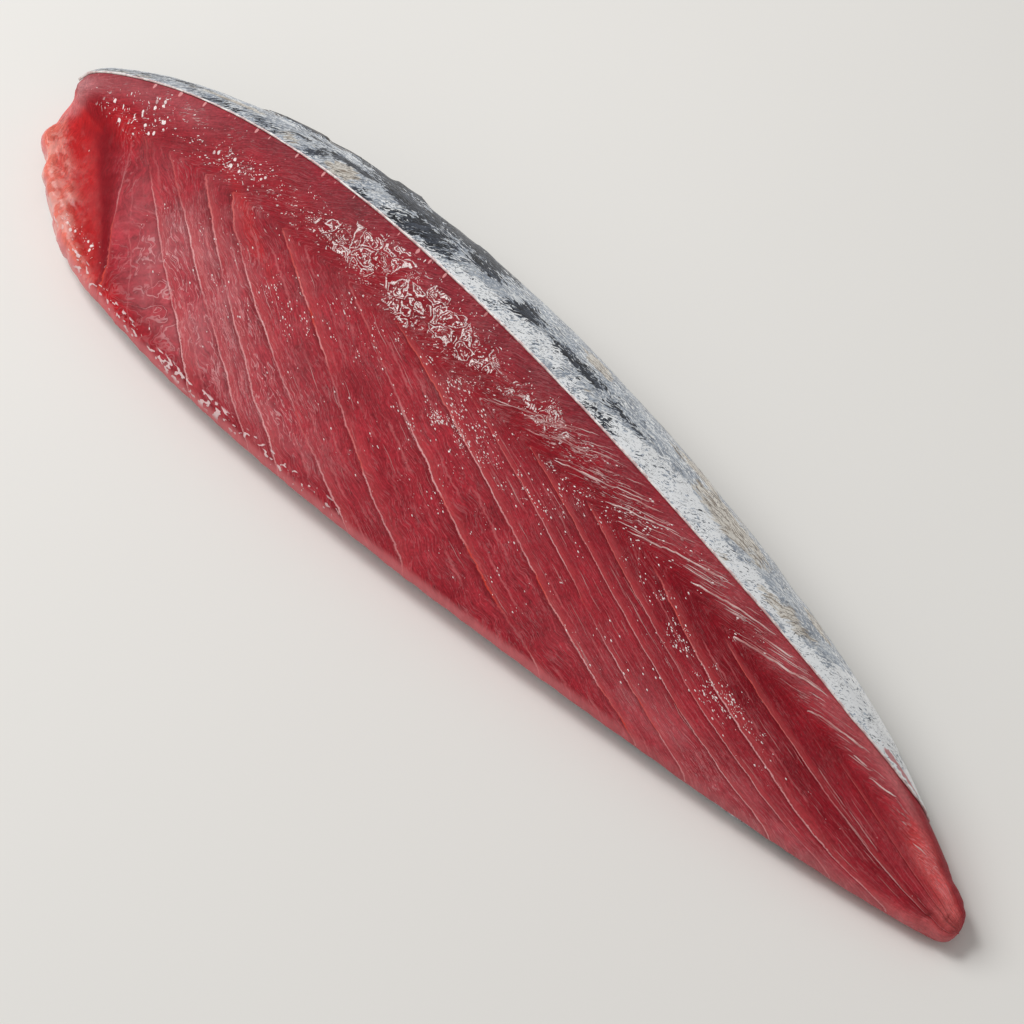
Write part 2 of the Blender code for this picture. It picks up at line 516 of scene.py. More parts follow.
# %% Bands of muscle
# where each band edge starts on the tip line, how far its long arm sweeps back, and its bend
BAND_EDGES = (
    (-165, 10, 1.0), (-150, 15, 1.0), (-136, 25, 1.1), (-132.5, 62, 1.17), (-123, 74, 1.12),
    (-109, 71, 1.15), (-98, 86, 1.3), (-79, 85, 1.0), (-54, 105, 1.03), (-37, 118, 0.82),
    (-14, 110, 0.75), (14, 107, 0.85), (34, 104, 0.92), (53, 100, 1.0), (78, 135, 1.08),
    (111, 172, 0.95), (136, 215, 1.0), (158, 260, 1.0))
STARTS, SWEEPS, BENDS = zip(*BAND_EDGES)
TIP_LINE = ((-175, 0.70), (-60, 0.715), (35, 0.72), (56, 0.77), (180, 0.785))
UPPER_SWEEPS = ((-175, 36), (60, 36), (110, 22), (140, 11), (180, 7))
UPPER_BEND = 0.9
ORIGIN_RANGE, HALVINGS = (-420.0, 240.0), 26
STEEPNESS = (0.12, 2.0)         # least and most, in mm of origin for a mm of flesh
USUAL_WIDTH = 60                # of the face, in mm


def keyed(keys, at):
    return np.interp(at, *zip(*keys))


def arm_at(origin, across):
    """Where along the loin the band edge that starts at origin is, at a place across."""
    tip = keyed(TIP_LINE, origin)
    lower = np.clip((tip - across) / tip, 0, None) ** np.interp(origin, STARTS, BENDS)
    upper = np.clip((across - tip) / (1 - tip), 0, None) ** UPPER_BEND
    return origin + np.interp(origin, STARTS, SWEEPS) * lower + keyed(UPPER_SWEEPS, origin) * upper


def band_origin(along, across):
    """The origin on the tip line of the band edge through each point, by halving."""
    low, high = (np.full(along.shape, end) for end in ORIGIN_RANGE)
    for _ in range(HALVINGS):
        guess = (low + high) / 2
        ahead = arm_at(guess, across) > along
        low, high = np.where(ahead, low, guess), np.where(ahead, guess, high)
    return (low + high) / 2


def band_number(origin):
    """Counts the band edges up to an origin, with fractions between them."""
    first, last = STARTS[1] - STARTS[0], STARTS[-1] - STARTS[-2]
    return (np.interp(origin, STARTS, np.arange(len(STARTS)))
            + np.minimum(origin - STARTS[0], 0) / first + np.maximum(origin - STARTS[-1], 0) / last)


def slope_of(values, points):
    """How much a value grows per mm over the surface."""
    du = np.linalg.norm(np.gradient(points, axis=0), axis=2) / MM
    dv = np.maximum(np.linalg.norm(np.gradient(points, axis=1), axis=2) / MM, 0.05)
    return np.hypot(np.gradient(values, axis=0) / du, np.gradient(values, axis=1) / dv)


def drift(spot):
    """How far, in mm, the bands stray from their even rule at each place."""
    return 1.6 * cloud(spot, 22) + 0.5 * cloud(spot, 6, 3)


wander = np.dstack((along, across * USUAL_WIDTH))
origin = band_origin(along + drift(wander), across)
band = band_number(origin)
run = np.hypot(along - origin, (across - keyed(TIP_LINE, origin)) * width)
steep = np.clip(slope_of(origin, points), *STEEPNESS)
gap = np.interp(band, np.arange(len(STARTS) - 1) + 0.5, np.diff(STARTS)) / steep
print("bands numbered from", round(float(band.min()), 1), "to", round(float(band.max()), 1))

# %% [markdown]
# ## Where the flesh changes
# Raw bonito is not one red. The deep muscle near the spine is almost black red, the belly side
# looks milky, the ends are orange (at the head end partly painted glow of light through the thin
# rim), and a wet strip shines below the skin. Each of these is a soft patch on the cut face, so a
# small list of patches, each with a middle, a reach and a colour, paints them all. A slow random
# shift of the coordinates keeps the borders natural.

# %% Patches of colour
# colour, middle along in mm, middle across, reach along, reach across, lean, strength
TONES = (
    ((134, 12, 26), -5, 0.78, 150, 0.13, 0.0, 0.95),       # dark strip under the skin
    ((132, 38, 48), -10, 0.98, 170, 0.085, 0.0, 0.95),     # flat strip beside the skin
    ((122, 12, 26), 82, 0.66, 42, 0.15, -0.10, 0.8),       # darkest muscle
    ((122, 16, 28), 128, 0.42, 26, 0.14, -0.5, 0.75),
    ((134, 28, 40), 30, 0.62, 32, 0.10, -0.2, 0.4),
    ((176, 78, 86), -78, 0.24, 40, 0.17, -0.2, 0.5),       # milky belly side
    ((138, 26, 38), -95, 0.70, 34, 0.10, 0.0, 0.6),
    ((166, 62, 70), 110, 0.08, 60, 0.10, -0.2, 0.5),
    ((180, 24, 30), -142, 0.68, 13, 0.12, 0.0, 0.7),       # bright wet red by the head
    ((170, 84, 90), -140, 0.95, 30, 0.11, 0.0, 0.4),
    ((214, 66, 62), 157, 0.90, 13, 0.23, -0.2, 0.9),      # orange tail
    ((170, 66, 72), 118, 0.95, 26, 0.10, 0.0, 0.5),
    ((132, 16, 28), 122, 0.72, 26, 0.09, -0.2, 0.7),
    ((210, 104, 102), 167, 0.6, 5, 0.5, 0.0, 0.8),
    ((126, 20, 30), 160, 0.30, 9, 0.12, -0.5, 0.8),        # pocket before the tip
    ((192, 90, 92), 165, 0.04, 9, 0.14, 0.0, 0.7),
    ((186, 34, 36), -88, 0.63, 16, 0.03, -0.9, 0.5),       # a warm streak from the wet red
    ((190, 26, 34), -112, 0.03, 18, 0.06, 0.0, 0.75),      # wet red bead of the lip
    ((158, 56, 62), 92, 0.98, 42, 0.10, 0.0, 0.5),
    ((200, 116, 118), 138, 1.05, 15, 0.08, 0.0, 0.7),      # milky border of the tail
    ((172, 78, 86), 128, 0.0, 40, 0.05, 0.0, 0.3),
    ((200, 134, 138), -163, 0.86, 7, 0.12, 0.0, 0.7),      # pale flap at the head's corner
)
BASE_TONE = (156, 42, 52)


def patch(middle_along, middle_across, reach_along, reach_across, lean=0.0):
    """A soft patch on the face: 1 in its middle, 0 far off."""
    off = along_soft - middle_along
    aside = across_soft - middle_across - lean * off / 100
    return np.exp(-((off / reach_along) ** 2 + (aside / reach_across) ** 2) ** 1.3)


def linear(colour):
    return np.array(rgba(colour)[:3])


def paint_tones():
    tone = np.ones(along.shape + (3,)) * linear(BASE_TONE)
    for colour, *place, strength in TONES:
        share = (strength * patch(*place))[..., None]
        tone = tone * (1 - share) + linear(colour) * share
    return tone


# the head end: colour, where the layer is strongest in rim widths from the outline, its reach, its
# strength, and its own highest place across
HEAD_LAYERS = (((126, 16, 26), 2.15, 0.75, 0.85, 0.80),     # painted shade in the hollow
               ((186, 32, 34), 1.25, 0.52, 0.86, 2.0),      # bright red wall, painted glow of light through it, with no limit of its own
               ((228, 118, 102), 0.25, 0.62, 0.96, 2.0))    # orange-pink rim, partly painted glow of light through it, the same
LAYER_FADE = 0.22
FAR_INSIDE = 9.0        # depth of all points that are not near the head, in rim widths
RIM_WIDTH = ((-168, 3.4), (-160, 7.0), (-148, 10.0), (-132, 8.5), (-118, 4.2), (-104, 2.4))
HEAD_PART = -98     # the outline that counts runs from the head's tip to here, in mm
CORNER_FLAP = (-0.1640, 0.0050)
FLAP_TONE, FLAP_SIZE, FLAP_SHARE = (206, 138, 140), 0.0065, 0.75


def from_outline():
    """How deep inside the outline of the head end each point lies, in widths of its rim."""
    head_rings = int(np.searchsorted(stations, HEAD_PART * MM))
    outline = points[:head_rings, 0]
    depth = np.full(along.shape, FAR_INSIDE)
    for k in range(head_rings):
        off = np.linalg.norm(points[k][:, None] - outline[None], axis=2).min(1) / MM
        depth[k] = off / keyed(RIM_WIDTH, along[k])
    return depth + 0.25 * cloud(wander, 5, 14)


def near_head(start, fade=16):
    """0 along the loin, rising to 1 from a place (mm) towards the head."""
    return unit((start - along) / fade)


def paint_head(tone):
    """Painted shade in the hollow, then a bright red wall and an orange-pink rim with painted glow of
    light through the thin rim, one over the other.
    """
    low_side = unit((0.93 - across) / 0.16) * near_head(-104)
    # the dark layer is painted shade, the two bright layers carry painted glow of light through the
    # rim
    for colour, middle_at, reach, strength, top in HEAD_LAYERS:
        share = strength * low_side * np.exp(-np.abs((depth - middle_at) / reach) ** 3)
        share *= unit((top - across) / LAYER_FADE)
        tone = tone * (1 - share[..., None]) + linear(colour) * share[..., None]
    return tone


def paint_corner(tone):
    """The pale flap of membrane left at the corner of the head end."""
    off = np.linalg.norm(points[..., :2] - CORNER_FLAP, axis=-1)[..., None]
    uneven = 0.7 + 0.3 * cloud(wander, 3, 15)[..., None]
    share = FLAP_SHARE * np.exp(-(off / FLAP_SIZE) ** 4) * uneven
    return tone * (1 - share) + linear(FLAP_TONE) * share


along_soft = along + 3.5 * cloud(wander, 14, 11)
across_soft = across + 0.035 * cloud(wander, 11, 12)
depth = from_outline()
tones = paint_corner(paint_head(paint_tones()))
print("painted", len(TONES), "patches")

# %% Zones for wet lumps, streaks, milk and fine glints
# middle along in mm, middle across, reach along, reach across, lean, strength
WET = (
    (-38, 0.845, 42, 0.115, 0.02, 1.0), (8, 0.86, 20, 0.07, 0.0, 0.8),
    (-98, 0.82, 24, 0.08, 0.0, 0.42), (-139, 0.80, 14, 0.13, 0.0, 0.75),
    (-126, 0.10, 10, 0.05, 0.0, 0.6))
STREAKS = (
    (28, 0.85, 30, 0.10, 0.05, 1.0), (141, 0.90, 6, 0.08, 0.0, 1.0), (0, 0.72, 32, 0.08, 0.0, 0.6),
    (90, 0.88, 50, 0.10, 0.0, 0.5), (-125, 0.93, 30, 0.07, 0.0, 0.6), (-90, 0.7, 30, 0.12, 0.0, 0.35))
MILK = (
    (-88, 0.30, 32, 0.2, -0.3, 0.8), (-60, 0.2, 30, 0.15, -0.2, 0.6), (-110, 0.5, 20, 0.3, 0.0, 0.15),
    (158, 0.9, 16, 0.2, 0.0, 0.5), (105, 0.08, 50, 0.14, -0.3, 0.35), (100, 0.92, 50, 0.10, 0.0, 0.25),
    (-140, 0.94, 28, 0.09, 0.0, 0.35))
GLINTS = (
    (-12, 0.60, 44, 0.15, -0.1, 1.0), (82, 0.54, 28, 0.14, -0.5, 1.0), (-85, 0.80, 60, 0.12, 0.0, 0.8),
    (-75, 0.45, 40, 0.16, 0.0, 0.5), (0, 0.70, 60, 0.09, 0.0, 0.8), (20, 0.3, 120, 0.2, 0.0, 0.3),
    (45, 0.84, 50, 0.12, 0.0, 0.7), (-130, 0.85, 25, 0.12, 0.0, 0.7))
RIM_REACH = 0.8                     # in rim widths
HOLLOW_AT, HOLLOW_REACH = 1.8, 0.9
PLAIN_CORNER, PLAIN_SIZE = (-0.168, 0.007), 0.010      # where the head has no rim or hollow


def zone(places):
    """The strongest of several patches at each point, kept to the cut face."""
    strongest = np.max([strength * patch(*place) for *place, strength in places], axis=0)
    return unit(strongest) * on_face


on_face = unit(np.minimum(across + 0.12, 1.15 - across) / 0.1)
wet_zone, streak_zone, milk_zone, glint_zone = map(zone, (WET, STREAKS, MILK, GLINTS))
off_corner = np.hypot(*(points[..., k] - PLAIN_CORNER[k] for k in (0, 1)))
past_corner = 1 - np.exp(-(off_corner / PLAIN_SIZE) ** 2)
rim_zone = np.exp(-np.clip(depth / RIM_REACH, 0, None) ** 2) * near_head(-108) * past_corner
hollow_zone = np.exp(-((depth - HOLLOW_AT) / HOLLOW_REACH) ** 2) * near_head(-104) * past_corner
hollow_zone *= unit((0.80 - across) / 0.2) * on_face
print("wet share of the grid:", round(float((wet_zone > 0.3).mean()), 3))

# %% [markdown]
# ## The flesh
# The flesh is the main piece: a tube of rings closed at both ends. Its relief follows rules, so a
# Geometry Nodes tree makes it: every band swells a little and drops at its edge, the wet strip is
# lumpy, the lip is a row of soft beads. The tree moves each point along its own normal by the sum
# of these, with the heights as named inputs. Sculpting would do it too, but rules keep it even.

# %% Ragged ends
# the middle that the scallops point away from, their size and their depth, in metres
HEAD_HEART, HEAD_SCALLOP = (-0.136, -0.004), (0.0062, 0.0017)
TAIL_HEART, TAIL_SCALLOP = (0.150, -0.020), (0.0038, 0.0009)
HEAD_CORNER, CORNER_PULL, CORNER_REACH = (-0.1700, 0.0080), 0.0046, 0.0085
FLOOR_KEEP, FLOOR_FADE = 0.003, 0.005      # the lowest part keeps its outline


def pull_corner(points):
    """Draws the sharp corner of the head end in towards the middle."""
    drawn_in = points.copy()
    off = np.linalg.norm(points[..., :2] - HEAD_CORNER, axis=-1)
    drawn_in[..., 0] += CORNER_PULL * np.exp(-(off / CORNER_REACH) ** 2)
    return drawn_in


def fray_ends(points):
    """Scalloped outlines at the head end and small notches at the tip of the tail."""
    frayed = points.copy()
    above = unit((points[..., 2] - FLOOR_KEEP) / FLOOR_FADE)
    head_share = np.exp(-(depth / 0.7) ** 2) * near_head(-116, 14)
    tail_share = unit((along - 156) / 8)
    for heart, share, (size, deep) in ((HEAD_HEART, head_share, HEAD_SCALLOP),
                                       (TAIL_HEART, tail_share, TAIL_SCALLOP)):
        away = points[..., :2] - heart
        away /= np.linalg.norm(away, axis=-1, keepdims=True)
        push = deep * share * above * (1.5 * cloud(points[..., :2], size, 21, 2) - 0.5)
        frayed[..., :2] += away * push[..., None]
    return pull_corner(frayed)


points = fray_ends(points)
print("ends frayed, head corner drawn in by mm:", CORNER_PULL / MM)

# %% Mesh of the flesh
def tube_quads(rings, around):
    """Point numbers of a tube's rings, and the faces between them, all facing out."""
    index = np.arange(rings * around).reshape(rings, around)
    ahead = np.roll(index, -1, axis=1)
    quads = np.dstack((index[:-1], index[1:], ahead[1:], ahead[:-1])).reshape(-1, 4)
    return index, ahead, quads.tolist()


def quad_spots(rings, around):
    """Where the corners of a tube's faces lie, counted in rings and in steps round them."""
    i, j = np.indices((rings - 1, around))
    return np.stack(((i, j), (i + 1, j), (i + 1, j + 1), (i, j + 1)), axis=-1).reshape(2, -1).T


def bake_map(mesh, spots, rings, around):
    """The map for baking, with the loin along u and its ring up v; caps share one small spot."""
    flat = np.full((len(mesh.loops), 2), 0.001)
    flat[:len(spots)] = (spots + (1, 0)) / (rings + 1, around)
    mesh.uv_layers.new(name="OFBake").data.foreach_set("uv", flat.ravel())


def close_grid(points):
    """Corners and faces of a tube of rings, with a fan over each end."""
    rings, around = points.shape[:2]
    corners = np.vstack((points.reshape(-1, 3), points[0].mean(0), points[-1].mean(0)))
    index, ahead, quads = tube_quads(rings, around)
    first, last = rings * around, rings * around + 1
    head = np.column_stack((index[0], ahead[0], np.full(around, first)))
    tail = np.column_stack((ahead[-1], index[-1], np.full(around, last)))
    return corners, quads + head.tolist() + tail.tolist()


def ring_unwrap(mesh, rings, around):
    """The map of the flesh, with the fans beside the first and the last ring."""
    j = np.arange(around)
    head, tail = np.zeros(around), np.full(around, rings - 1)
    head_fan = np.stack(((head, j), (head, j + 1), (head - 0.5, j + 0.5)), axis=-1)
    tail_fan = np.stack(((tail, j + 1), (tail, j), (tail + 0.5, j + 0.5)), axis=-1)
    fans = [part.reshape(2, -1).T for part in (head_fan, tail_fan)]
    bake_map(mesh, np.vstack((quad_spots(rings, around), *fans)), rings, around)


def put_values(mesh, name, values, kind="FLOAT_VECTOR"):
    """Stores three values per point; the two end points take the mean of their ring."""
    field = "vector"
    flat = np.vstack((values.reshape(-1, 3), values[0].mean(0), values[-1].mean(0)))
    if kind == "FLOAT_COLOR":
        flat, field = np.column_stack((flat, np.ones(len(flat)))), "color"
    mesh.attributes.new(name, kind, "POINT").data.foreach_set(field, flat.ravel())


def make_flesh():
    corners, faces = close_grid(points)
    mesh = bpy.data.meshes.new("flesh_cut")
    mesh.from_pydata(corners.tolist(), [], faces)
    ring_unwrap(mesh, *points.shape[:2])
    put_values(mesh, "tone", tones, "FLOAT_COLOR")
    lay = {"band": (band, gap, run), "place": (along, across, width * np.ones_like(across)),
           "fibre": (origin * 0.6, run, across * 10), "zones": (wet_zone, milk_zone, glint_zone),
           "edges": (streak_zone, rim_zone, hollow_zone)}
    for name, values in lay.items():
        put_values(mesh, name, np.dstack(values))
    mesh.shade_smooth()
    return add_object("flesh_cut", mesh)


flesh = make_flesh()
print("flesh:", len(flesh.data.polygons), "faces")

# %% Helpers for geometry trees
def geometry_tree(name, sizes, seed=None):
    """A Geometry Nodes tree with a mesh input, named sizes and a mesh output."""
    tree = bpy.data.node_groups.new(name, "GeometryNodeTree")
    tree.interface.new_socket("Geometry", in_out="INPUT", socket_type="NodeSocketGeometry")
    for label, value in sizes.items():
        socket = tree.interface.new_socket(label, in_out="INPUT", socket_type="NodeSocketFloat")
        socket.default_value = value
    if seed is not None:
        socket = tree.interface.new_socket("Seed", in_out="INPUT", socket_type="NodeSocketInt")
        socket.default_value = seed
    tree.interface.new_socket("Geometry", in_out="OUTPUT", socket_type="NodeSocketGeometry")
    given = tree.nodes.new("NodeGroupInput").outputs
    return tree, {socket.name: Value(socket) for socket in given if socket.name}


def stored(tree, name, kind="FLOAT_VECTOR"):
    """A value stored per point in the mesh, read by its name."""
    return output(tree, "GeometryNodeInputNamedAttribute", {"Name": name}, data_type=kind)


def finish_tree(tree, geometry, material):
    """Ends a tree in smooth shading, Realize Instances and Set Material."""
    shaded = output(tree, "GeometryNodeSetShadeSmooth", {0: geometry, "Shade Smooth": True})
    real = output(tree, "GeometryNodeRealizeInstances", {0: shaded})
    done = output(tree, "GeometryNodeSetMaterial", {0: real, "Material": material})
    add_node(tree, "NodeGroupOutput", {0: done})


def grow(source, tree, values):
    """Runs a tree on an object with these values and returns the result as a plain mesh."""
    modifier = source.modifiers.new(tree.name, "NODES")
    modifier.node_group = tree
    for item in tree.interface.items_tree:
        if item.item_type == "SOCKET" and item.in_out == "INPUT" and item.name in values:
            modifier[item.identifier] = values[item.name]
    bpy.context.view_layer.update()
    graph = bpy.context.evaluated_depsgraph_get()
    shaped = source.evaluated_get(graph)
    mesh = bpy.data.meshes.new_from_object(shaped, preserve_all_data_layers=True, depsgraph=graph)
    source.modifiers.remove(modifier)
    return mesh


# %% Relief of the muscle
RELIEF = {
    "Band swell": 0.00030, "Edge drop": 0.00007, "Lump height": 0.00060, "Lump size": 0.0042,
    "Lip bead": 0.00045, "Slow wave": 0.0005, "Rim height": 0.0012, "Hollow depth": 0.0022}


def relief_tree(material):
    """Moves each point along its normal: bands, lumps, lip, rim, hollow and slow waves."""
    tree, size = geometry_tree("muscle relief", RELIEF)
    number = split(stored(tree, "band"))[0]
    x, across, wide = split(stored(tree, "place"))
    wet = split(stored(tree, "zones"))[0]
    _, rim, hollow = split(stored(tree, "edges"))
    where = output(tree, "GeometryNodeInputPosition")

    # each band swells and drops at its edge, on the open muscle only
    part = fraction(number)
    hump = part * (1.0 - part) * 4.0
    drop = spread(part, 0.80, 1.0)
    on_muscle = between(across, 0.03, 0.12, 0.74, 0.64) * spread(x, -140.0, -112.0)
    height = (hump * size["Band swell"] - drop * size["Edge drop"]) * on_muscle

    # wet lumps with folds between them
    lump_scale = 1.0 / size["Lump size"]
    twist = swirled(where, where, 180.0, (0.003,) * 3)
    lump = cells(twist, lump_scale, "SMOOTH_F1")[0]
    folds = grain(twist, lump_scale * 2.1)
    lumpy = (0.5 - lump) * 1.2 + (folds - 0.5) * 1.1
    height = height + lumpy * size["Lump height"] * wet

    # the lip is a row of soft beads with a groove inside it
    from_lip = across * wide
    beads = 0.3 + 2.4 * (grain(joined(x * 0.22, from_lip * 0.3), 1.0) - 0.5)
    lip = between(from_lip, -3.0, 0.0, 2.2, 0.9)
    groove = between(from_lip, 1.2, 2.6, 6.0, 2.8)
    height = height + (lip * beads - groove * 0.2) * size["Lip bead"]

    # flared rim and hollow of the head end, and slow waves above the floor
    height = height + rim * (0.6 + grain(where, 170.0)) * size["Rim height"]
    height = height - hollow * size["Hollow depth"]
    above = spread(split(where)[2], 0.004, 0.009)
    height = height + (grain(where, 55.0) - 0.5) * size["Slow wave"] * above

    push = scaled(output(tree, "GeometryNodeInputNormal"), height)
    moved = output(tree, "GeometryNodeSetPosition", {"Geometry": size["Geometry"], "Offset": push})
    finish_tree(tree, moved, material)
    return tree


print("relief sizes in mm:", {name: round(value / MM, 2) for name, value in RELIEF.items()})

# %% [markdown]
# ## The look of raw flesh
# Wet muscle is a deep red that light enters a little way, under a thin clear film of moisture.
# A Principled shader does both: some subsurface scattering below and a clear coat on top. The
# painted tones give the slow changes, and the band coordinates give what is fine: fibres that run
# along the bands, a pale line on each band edge, painted light above the line and painted shade
# below it, as on a small step.

# %% Places and grains of the flesh
def stretched(fibre, across, along, detail=3.0):
    """Grain drawn out along the fibres: fine across them and long along them."""
    return grain(fibre * (1 / across, 1 / along, 0.3), 1.0, detail, 0.6)


def hairline(value, wide, narrow):
    """A thin line wherever the grain passes its middle."""
    return spread(abs(value - 0.5), wide, narrow)


class FleshPlaces:
    """Everything that the mesh of the flesh stores for its material."""

    def __init__(self, tree):
        self.number, self.spacing, self.distance = split(read(tree, "band"))
        self.x, self.across, self.wide = split(read(tree, "place"))
        self.wet, self.milk, self.glint = split(read(tree, "zones"))
        self.streak, self.rim, self.hollow = split(read(tree, "edges"))
        self.where = object_place(tree)
        sway = (grain(self.where, 60.0, 3.0) - 0.5) * 7.0
        self.fibre = read(tree, "fibre") + joined(sway)
        self.from_lip = self.across * self.wide
        self.flat = joined(self.x, self.from_lip)
        self.bent = swirled(self.flat, self.flat, 0.20, (7.0, 7.0, 0))
        self.at_head = larger(self.hollow, self.rim)
        self.coarse = stretched(self.fibre, 1.5, 18.0)
        self.fine = stretched(self.fibre, 0.42, 5.0)
        self.cloudy = grain(self.where, 75.0, 4.0, 0.6)


# %% Fibres, milky haze and hairs
HAZE, WISP, HAIR = (198, 126, 130), (218, 160, 162), (212, 146, 148)
print("colours of haze, wisps and hairs:", HAZE, WISP, HAIR)


def draw_fibres(tone, at):
    """The painted tone with fine light and dark fibres, slow marbling and pale hairs."""
    hairy = stretched(at.fibre, 0.26, 2.2, 1.0)
    light = spread(at.coarse, 0.3, 0.7, 0.90, 1.09, "LINEAR")
    for value, less, more in ((at.fine, -0.14, 0.15), (hairy, -0.24, 0.25),
                              (grain(at.where, 1500.0), -0.17, 0.17)):
        light = light + spread(value, 0.3, 0.7, less, more, "LINEAR")
    light = light * spread(at.cloudy, 0.3, 0.7, 0.82, 1.16, "LINEAR")
    light = 1.0 + (light - 1.0) * (1.0 - at.at_head * 0.65)
    colour = scaled(tone, light)
    haze = at.milk * spread(grain(at.where, 60.0, 4.0, 0.6), 0.38, 0.60, 0.04, 0.55)
    colour = mix(haze, colour, HAZE)
    curled = swirled(at.fibre, at.where, 260.0, (1.0, 1.0, 0))
    wisp = hairline(stretched(curled, 0.8, 9.0, 2.0), 0.022, 0.006)
    wisp = wisp * spread(at.milk, 0.05, 0.6, 0.15, 0.65) * spread(at.x, -122.0, -104.0)
    colour = mix(wisp, colour, WISP)
    hair = hairline(stretched(at.fibre, 1.0, 8.0, 4.0), 0.030, 0.004)
    hair = hair * spread(grain(at.where, 110.0), 0.46, 0.62) * spread(at.at_head, 0.5, 0.1)
    return mix(hair * (0.20 + at.milk * 0.5), colour, HAIR)


# %% Band edges
# painted light for the raised side of each band step and painted shade for its low side, then the line
# colours
PAINTED_LIGHT_SIDE, SHADE, FINE_LINE = (204, 86, 88), (96, 8, 20), (206, 116, 118)
PALE_LINE, WARM_LINE = (236, 176, 176), (216, 70, 54)
print("a band edge runs from", PALE_LINE, "to", WARM_LINE)


def come_and_go(at, index, gap, detail):
    """Slow noise along one line, different for each line's number."""
    return grain(joined(index, at.distance / gap), 1.0, detail)


def off_line(number):
    """How far a place is from the nearest whole number."""
    return fraction(number + 0.5) - 0.5


def draw_bands(colour, at):
    """A line on each band edge with painted light above it and painted shade below it, and two thin
    lines between.
    """
    shiver = (grain(at.where, 300.0, 4.0, 0.7) - 0.5) * 1.5
    on_lower = between(at.across, -0.04, 0.0, 0.74, 0.685)
    offset = off_line(at.number) * at.spacing + shiver
    presence = spread(come_and_go(at, nearest(at.number) * 7.31, 26.0, 2.0), 0.32, 0.56, 0.2, 1.0)
    presence = presence * on_lower * spread(at.x, -138.0, -112.0)
    # painted light above each band edge and painted shade below it, as on a small step
    lit_side = between(offset, -0.3, 0.3, 4.0, 0.0)
    shade = between(offset, -2.0, -0.4, 0.0, -0.5)
    colour = mix(lit_side * presence * 0.40, colour, PAINTED_LIGHT_SIDE)
    colour = mix(shade * presence * 0.45, colour, SHADE)
    line = spread(abs(offset), 0.32, 0.08) * presence
    patches = spread(grain(at.where, 38.0), 0.54, 0.64)
    warm = larger(patches, spread(at.across, 0.48, 0.64, 0.0, 0.85))
    colour = mix(line * 0.85, colour, mix(warm, PALE_LINE, WARM_LINE))

    thirds = at.number * 3.0
    aside = off_line(thirds) * at.spacing * 0.333 + shiver * 1.6
    minor = spread(abs(aside), 0.45, 0.08) * on_lower * spread(at.x, -134.0, -112.0)
    minor = minor * spread(come_and_go(at, nearest(thirds) * 3.17, 15.0, 3.0), 0.46, 0.62)
    return mix(minor * 0.45, colour, FINE_LINE), line


# %% [markdown]
# ## The wet membrane
# Below the skin a thin wet film clings to the muscle in small islands with crumpled white folds,
# and round them stand specks, drops and short dashes. The white of the folds is partly the film's
# pale tissue and partly painted reflection of the lamps on the wet folds, and the specks and drops
# are painted glints. Modelling every fold would take millions of faces, so random cells draw the
# islands, rings of noise draw the folds inside each cell, and the relief tree above only lifts the
# ground under them.

# %% Islands, specks and drops
# the white of the folds is partly pale tissue and partly painted reflection of the lamps on the wet
# film
MEMBRANE, FOLD_WHITE_AND_SHEEN, DASH = (190, 100, 104), (252, 238, 236), (232, 196, 194)
print("white of the folds:", FOLD_WHITE_AND_SHEEN, "on ground:", MEMBRANE)


def islands_and_sheen(at):
    """White islands with fine swirling folds, partly pale tissue and partly painted reflection on the
    wet folds, and the even ground that they stand on.
    """
    stretch = at.bent * (0.16, 0.22, 1)
    distance, fate = cells(stretch, 1.0)
    apart = cells(stretch, 1.0, "DISTANCE_TO_EDGE")[0]
    fate = split(fate)
    contour = fraction(distance * 6.5 + grain(at.flat, 0.45, 3.0) * 5.0)
    open_share = spread(fate[1], 0.2, 0.9, 0.54, 0.84)
    open_share = open_share + spread(grain(at.flat, 0.9, 3.0), 0.35, 0.65, -0.15, 0.15)
    worn = spread(grain(at.flat, 0.55, 4.0, 0.6), 0.465, 0.485)
    here = spread(at.wet * (0.62 + fate[0] * 0.7), 0.49, 0.53) * spread(at.x, -98.0, -84.0)
    lace = spread(grain(at.flat, 2.4, 1.0), 0.38, 0.44)
    outline = between(apart, 0.05, 0.06, 0.11, 0.09) * spread(fate[2], 0.30, 0.35, 0.0, 0.9)
    folds = (contour > open_share) * worn * spread(apart, 0.06, 0.08)
    return larger(folds, outline) * lace * here, spread(apart, 0.05, 0.09) * worn * here


def glint_specks(at):
    """Painted glints: small white specks round the islands."""
    distance, fate = cells(at.bent, 1.6)
    near_wet = spread(at.wet + (grain(at.flat, 0.15, 3.0) - 0.5), 0.22, 0.36)
    return spread(distance, 0.30, 0.22) * spread(split(fate)[0], 0.66, 0.70) * near_wet


def head_drop_glints(at):
    """Painted highlights of larger round drops by the head end."""
    distance, fate = cells(at.flat, 0.58)
    drops = spread(distance + grain(at.flat, 1.2) * 0.5, 0.57, 0.52)
    drops = drops * spread(split(fate)[0], 0.38, 0.43)
    return drops * spread(at.wet, 0.30, 0.40) * spread(at.x, -86.0, -96.0)


def draw_membrane(colour, at):
    """Islands partly of painted reflection, painted glints as specks and drops in white, and short
    dashes along the fibres.
    """
    pale, ground = islands_and_sheen(at)
    colour = mix(ground * 0.16, colour, MEMBRANE)
    # white islands with painted reflection, and painted glints as specks and drops
    pale = larger(larger(pale, glint_specks(at)), head_drop_glints(at))
    colour = mix(pale * 0.88, colour, FOLD_WHITE_AND_SHEEN)
    clump = spread(at.streak * 0.5 + (grain(at.flat, 0.16) - 0.5), 0.24, 0.40)
    dashes = spread(stretched(at.fibre, 0.42, 1.9, 2.0), 0.58, 0.61) * clump
    return mix(dashes * 0.6, colour, DASH), pale, dashes


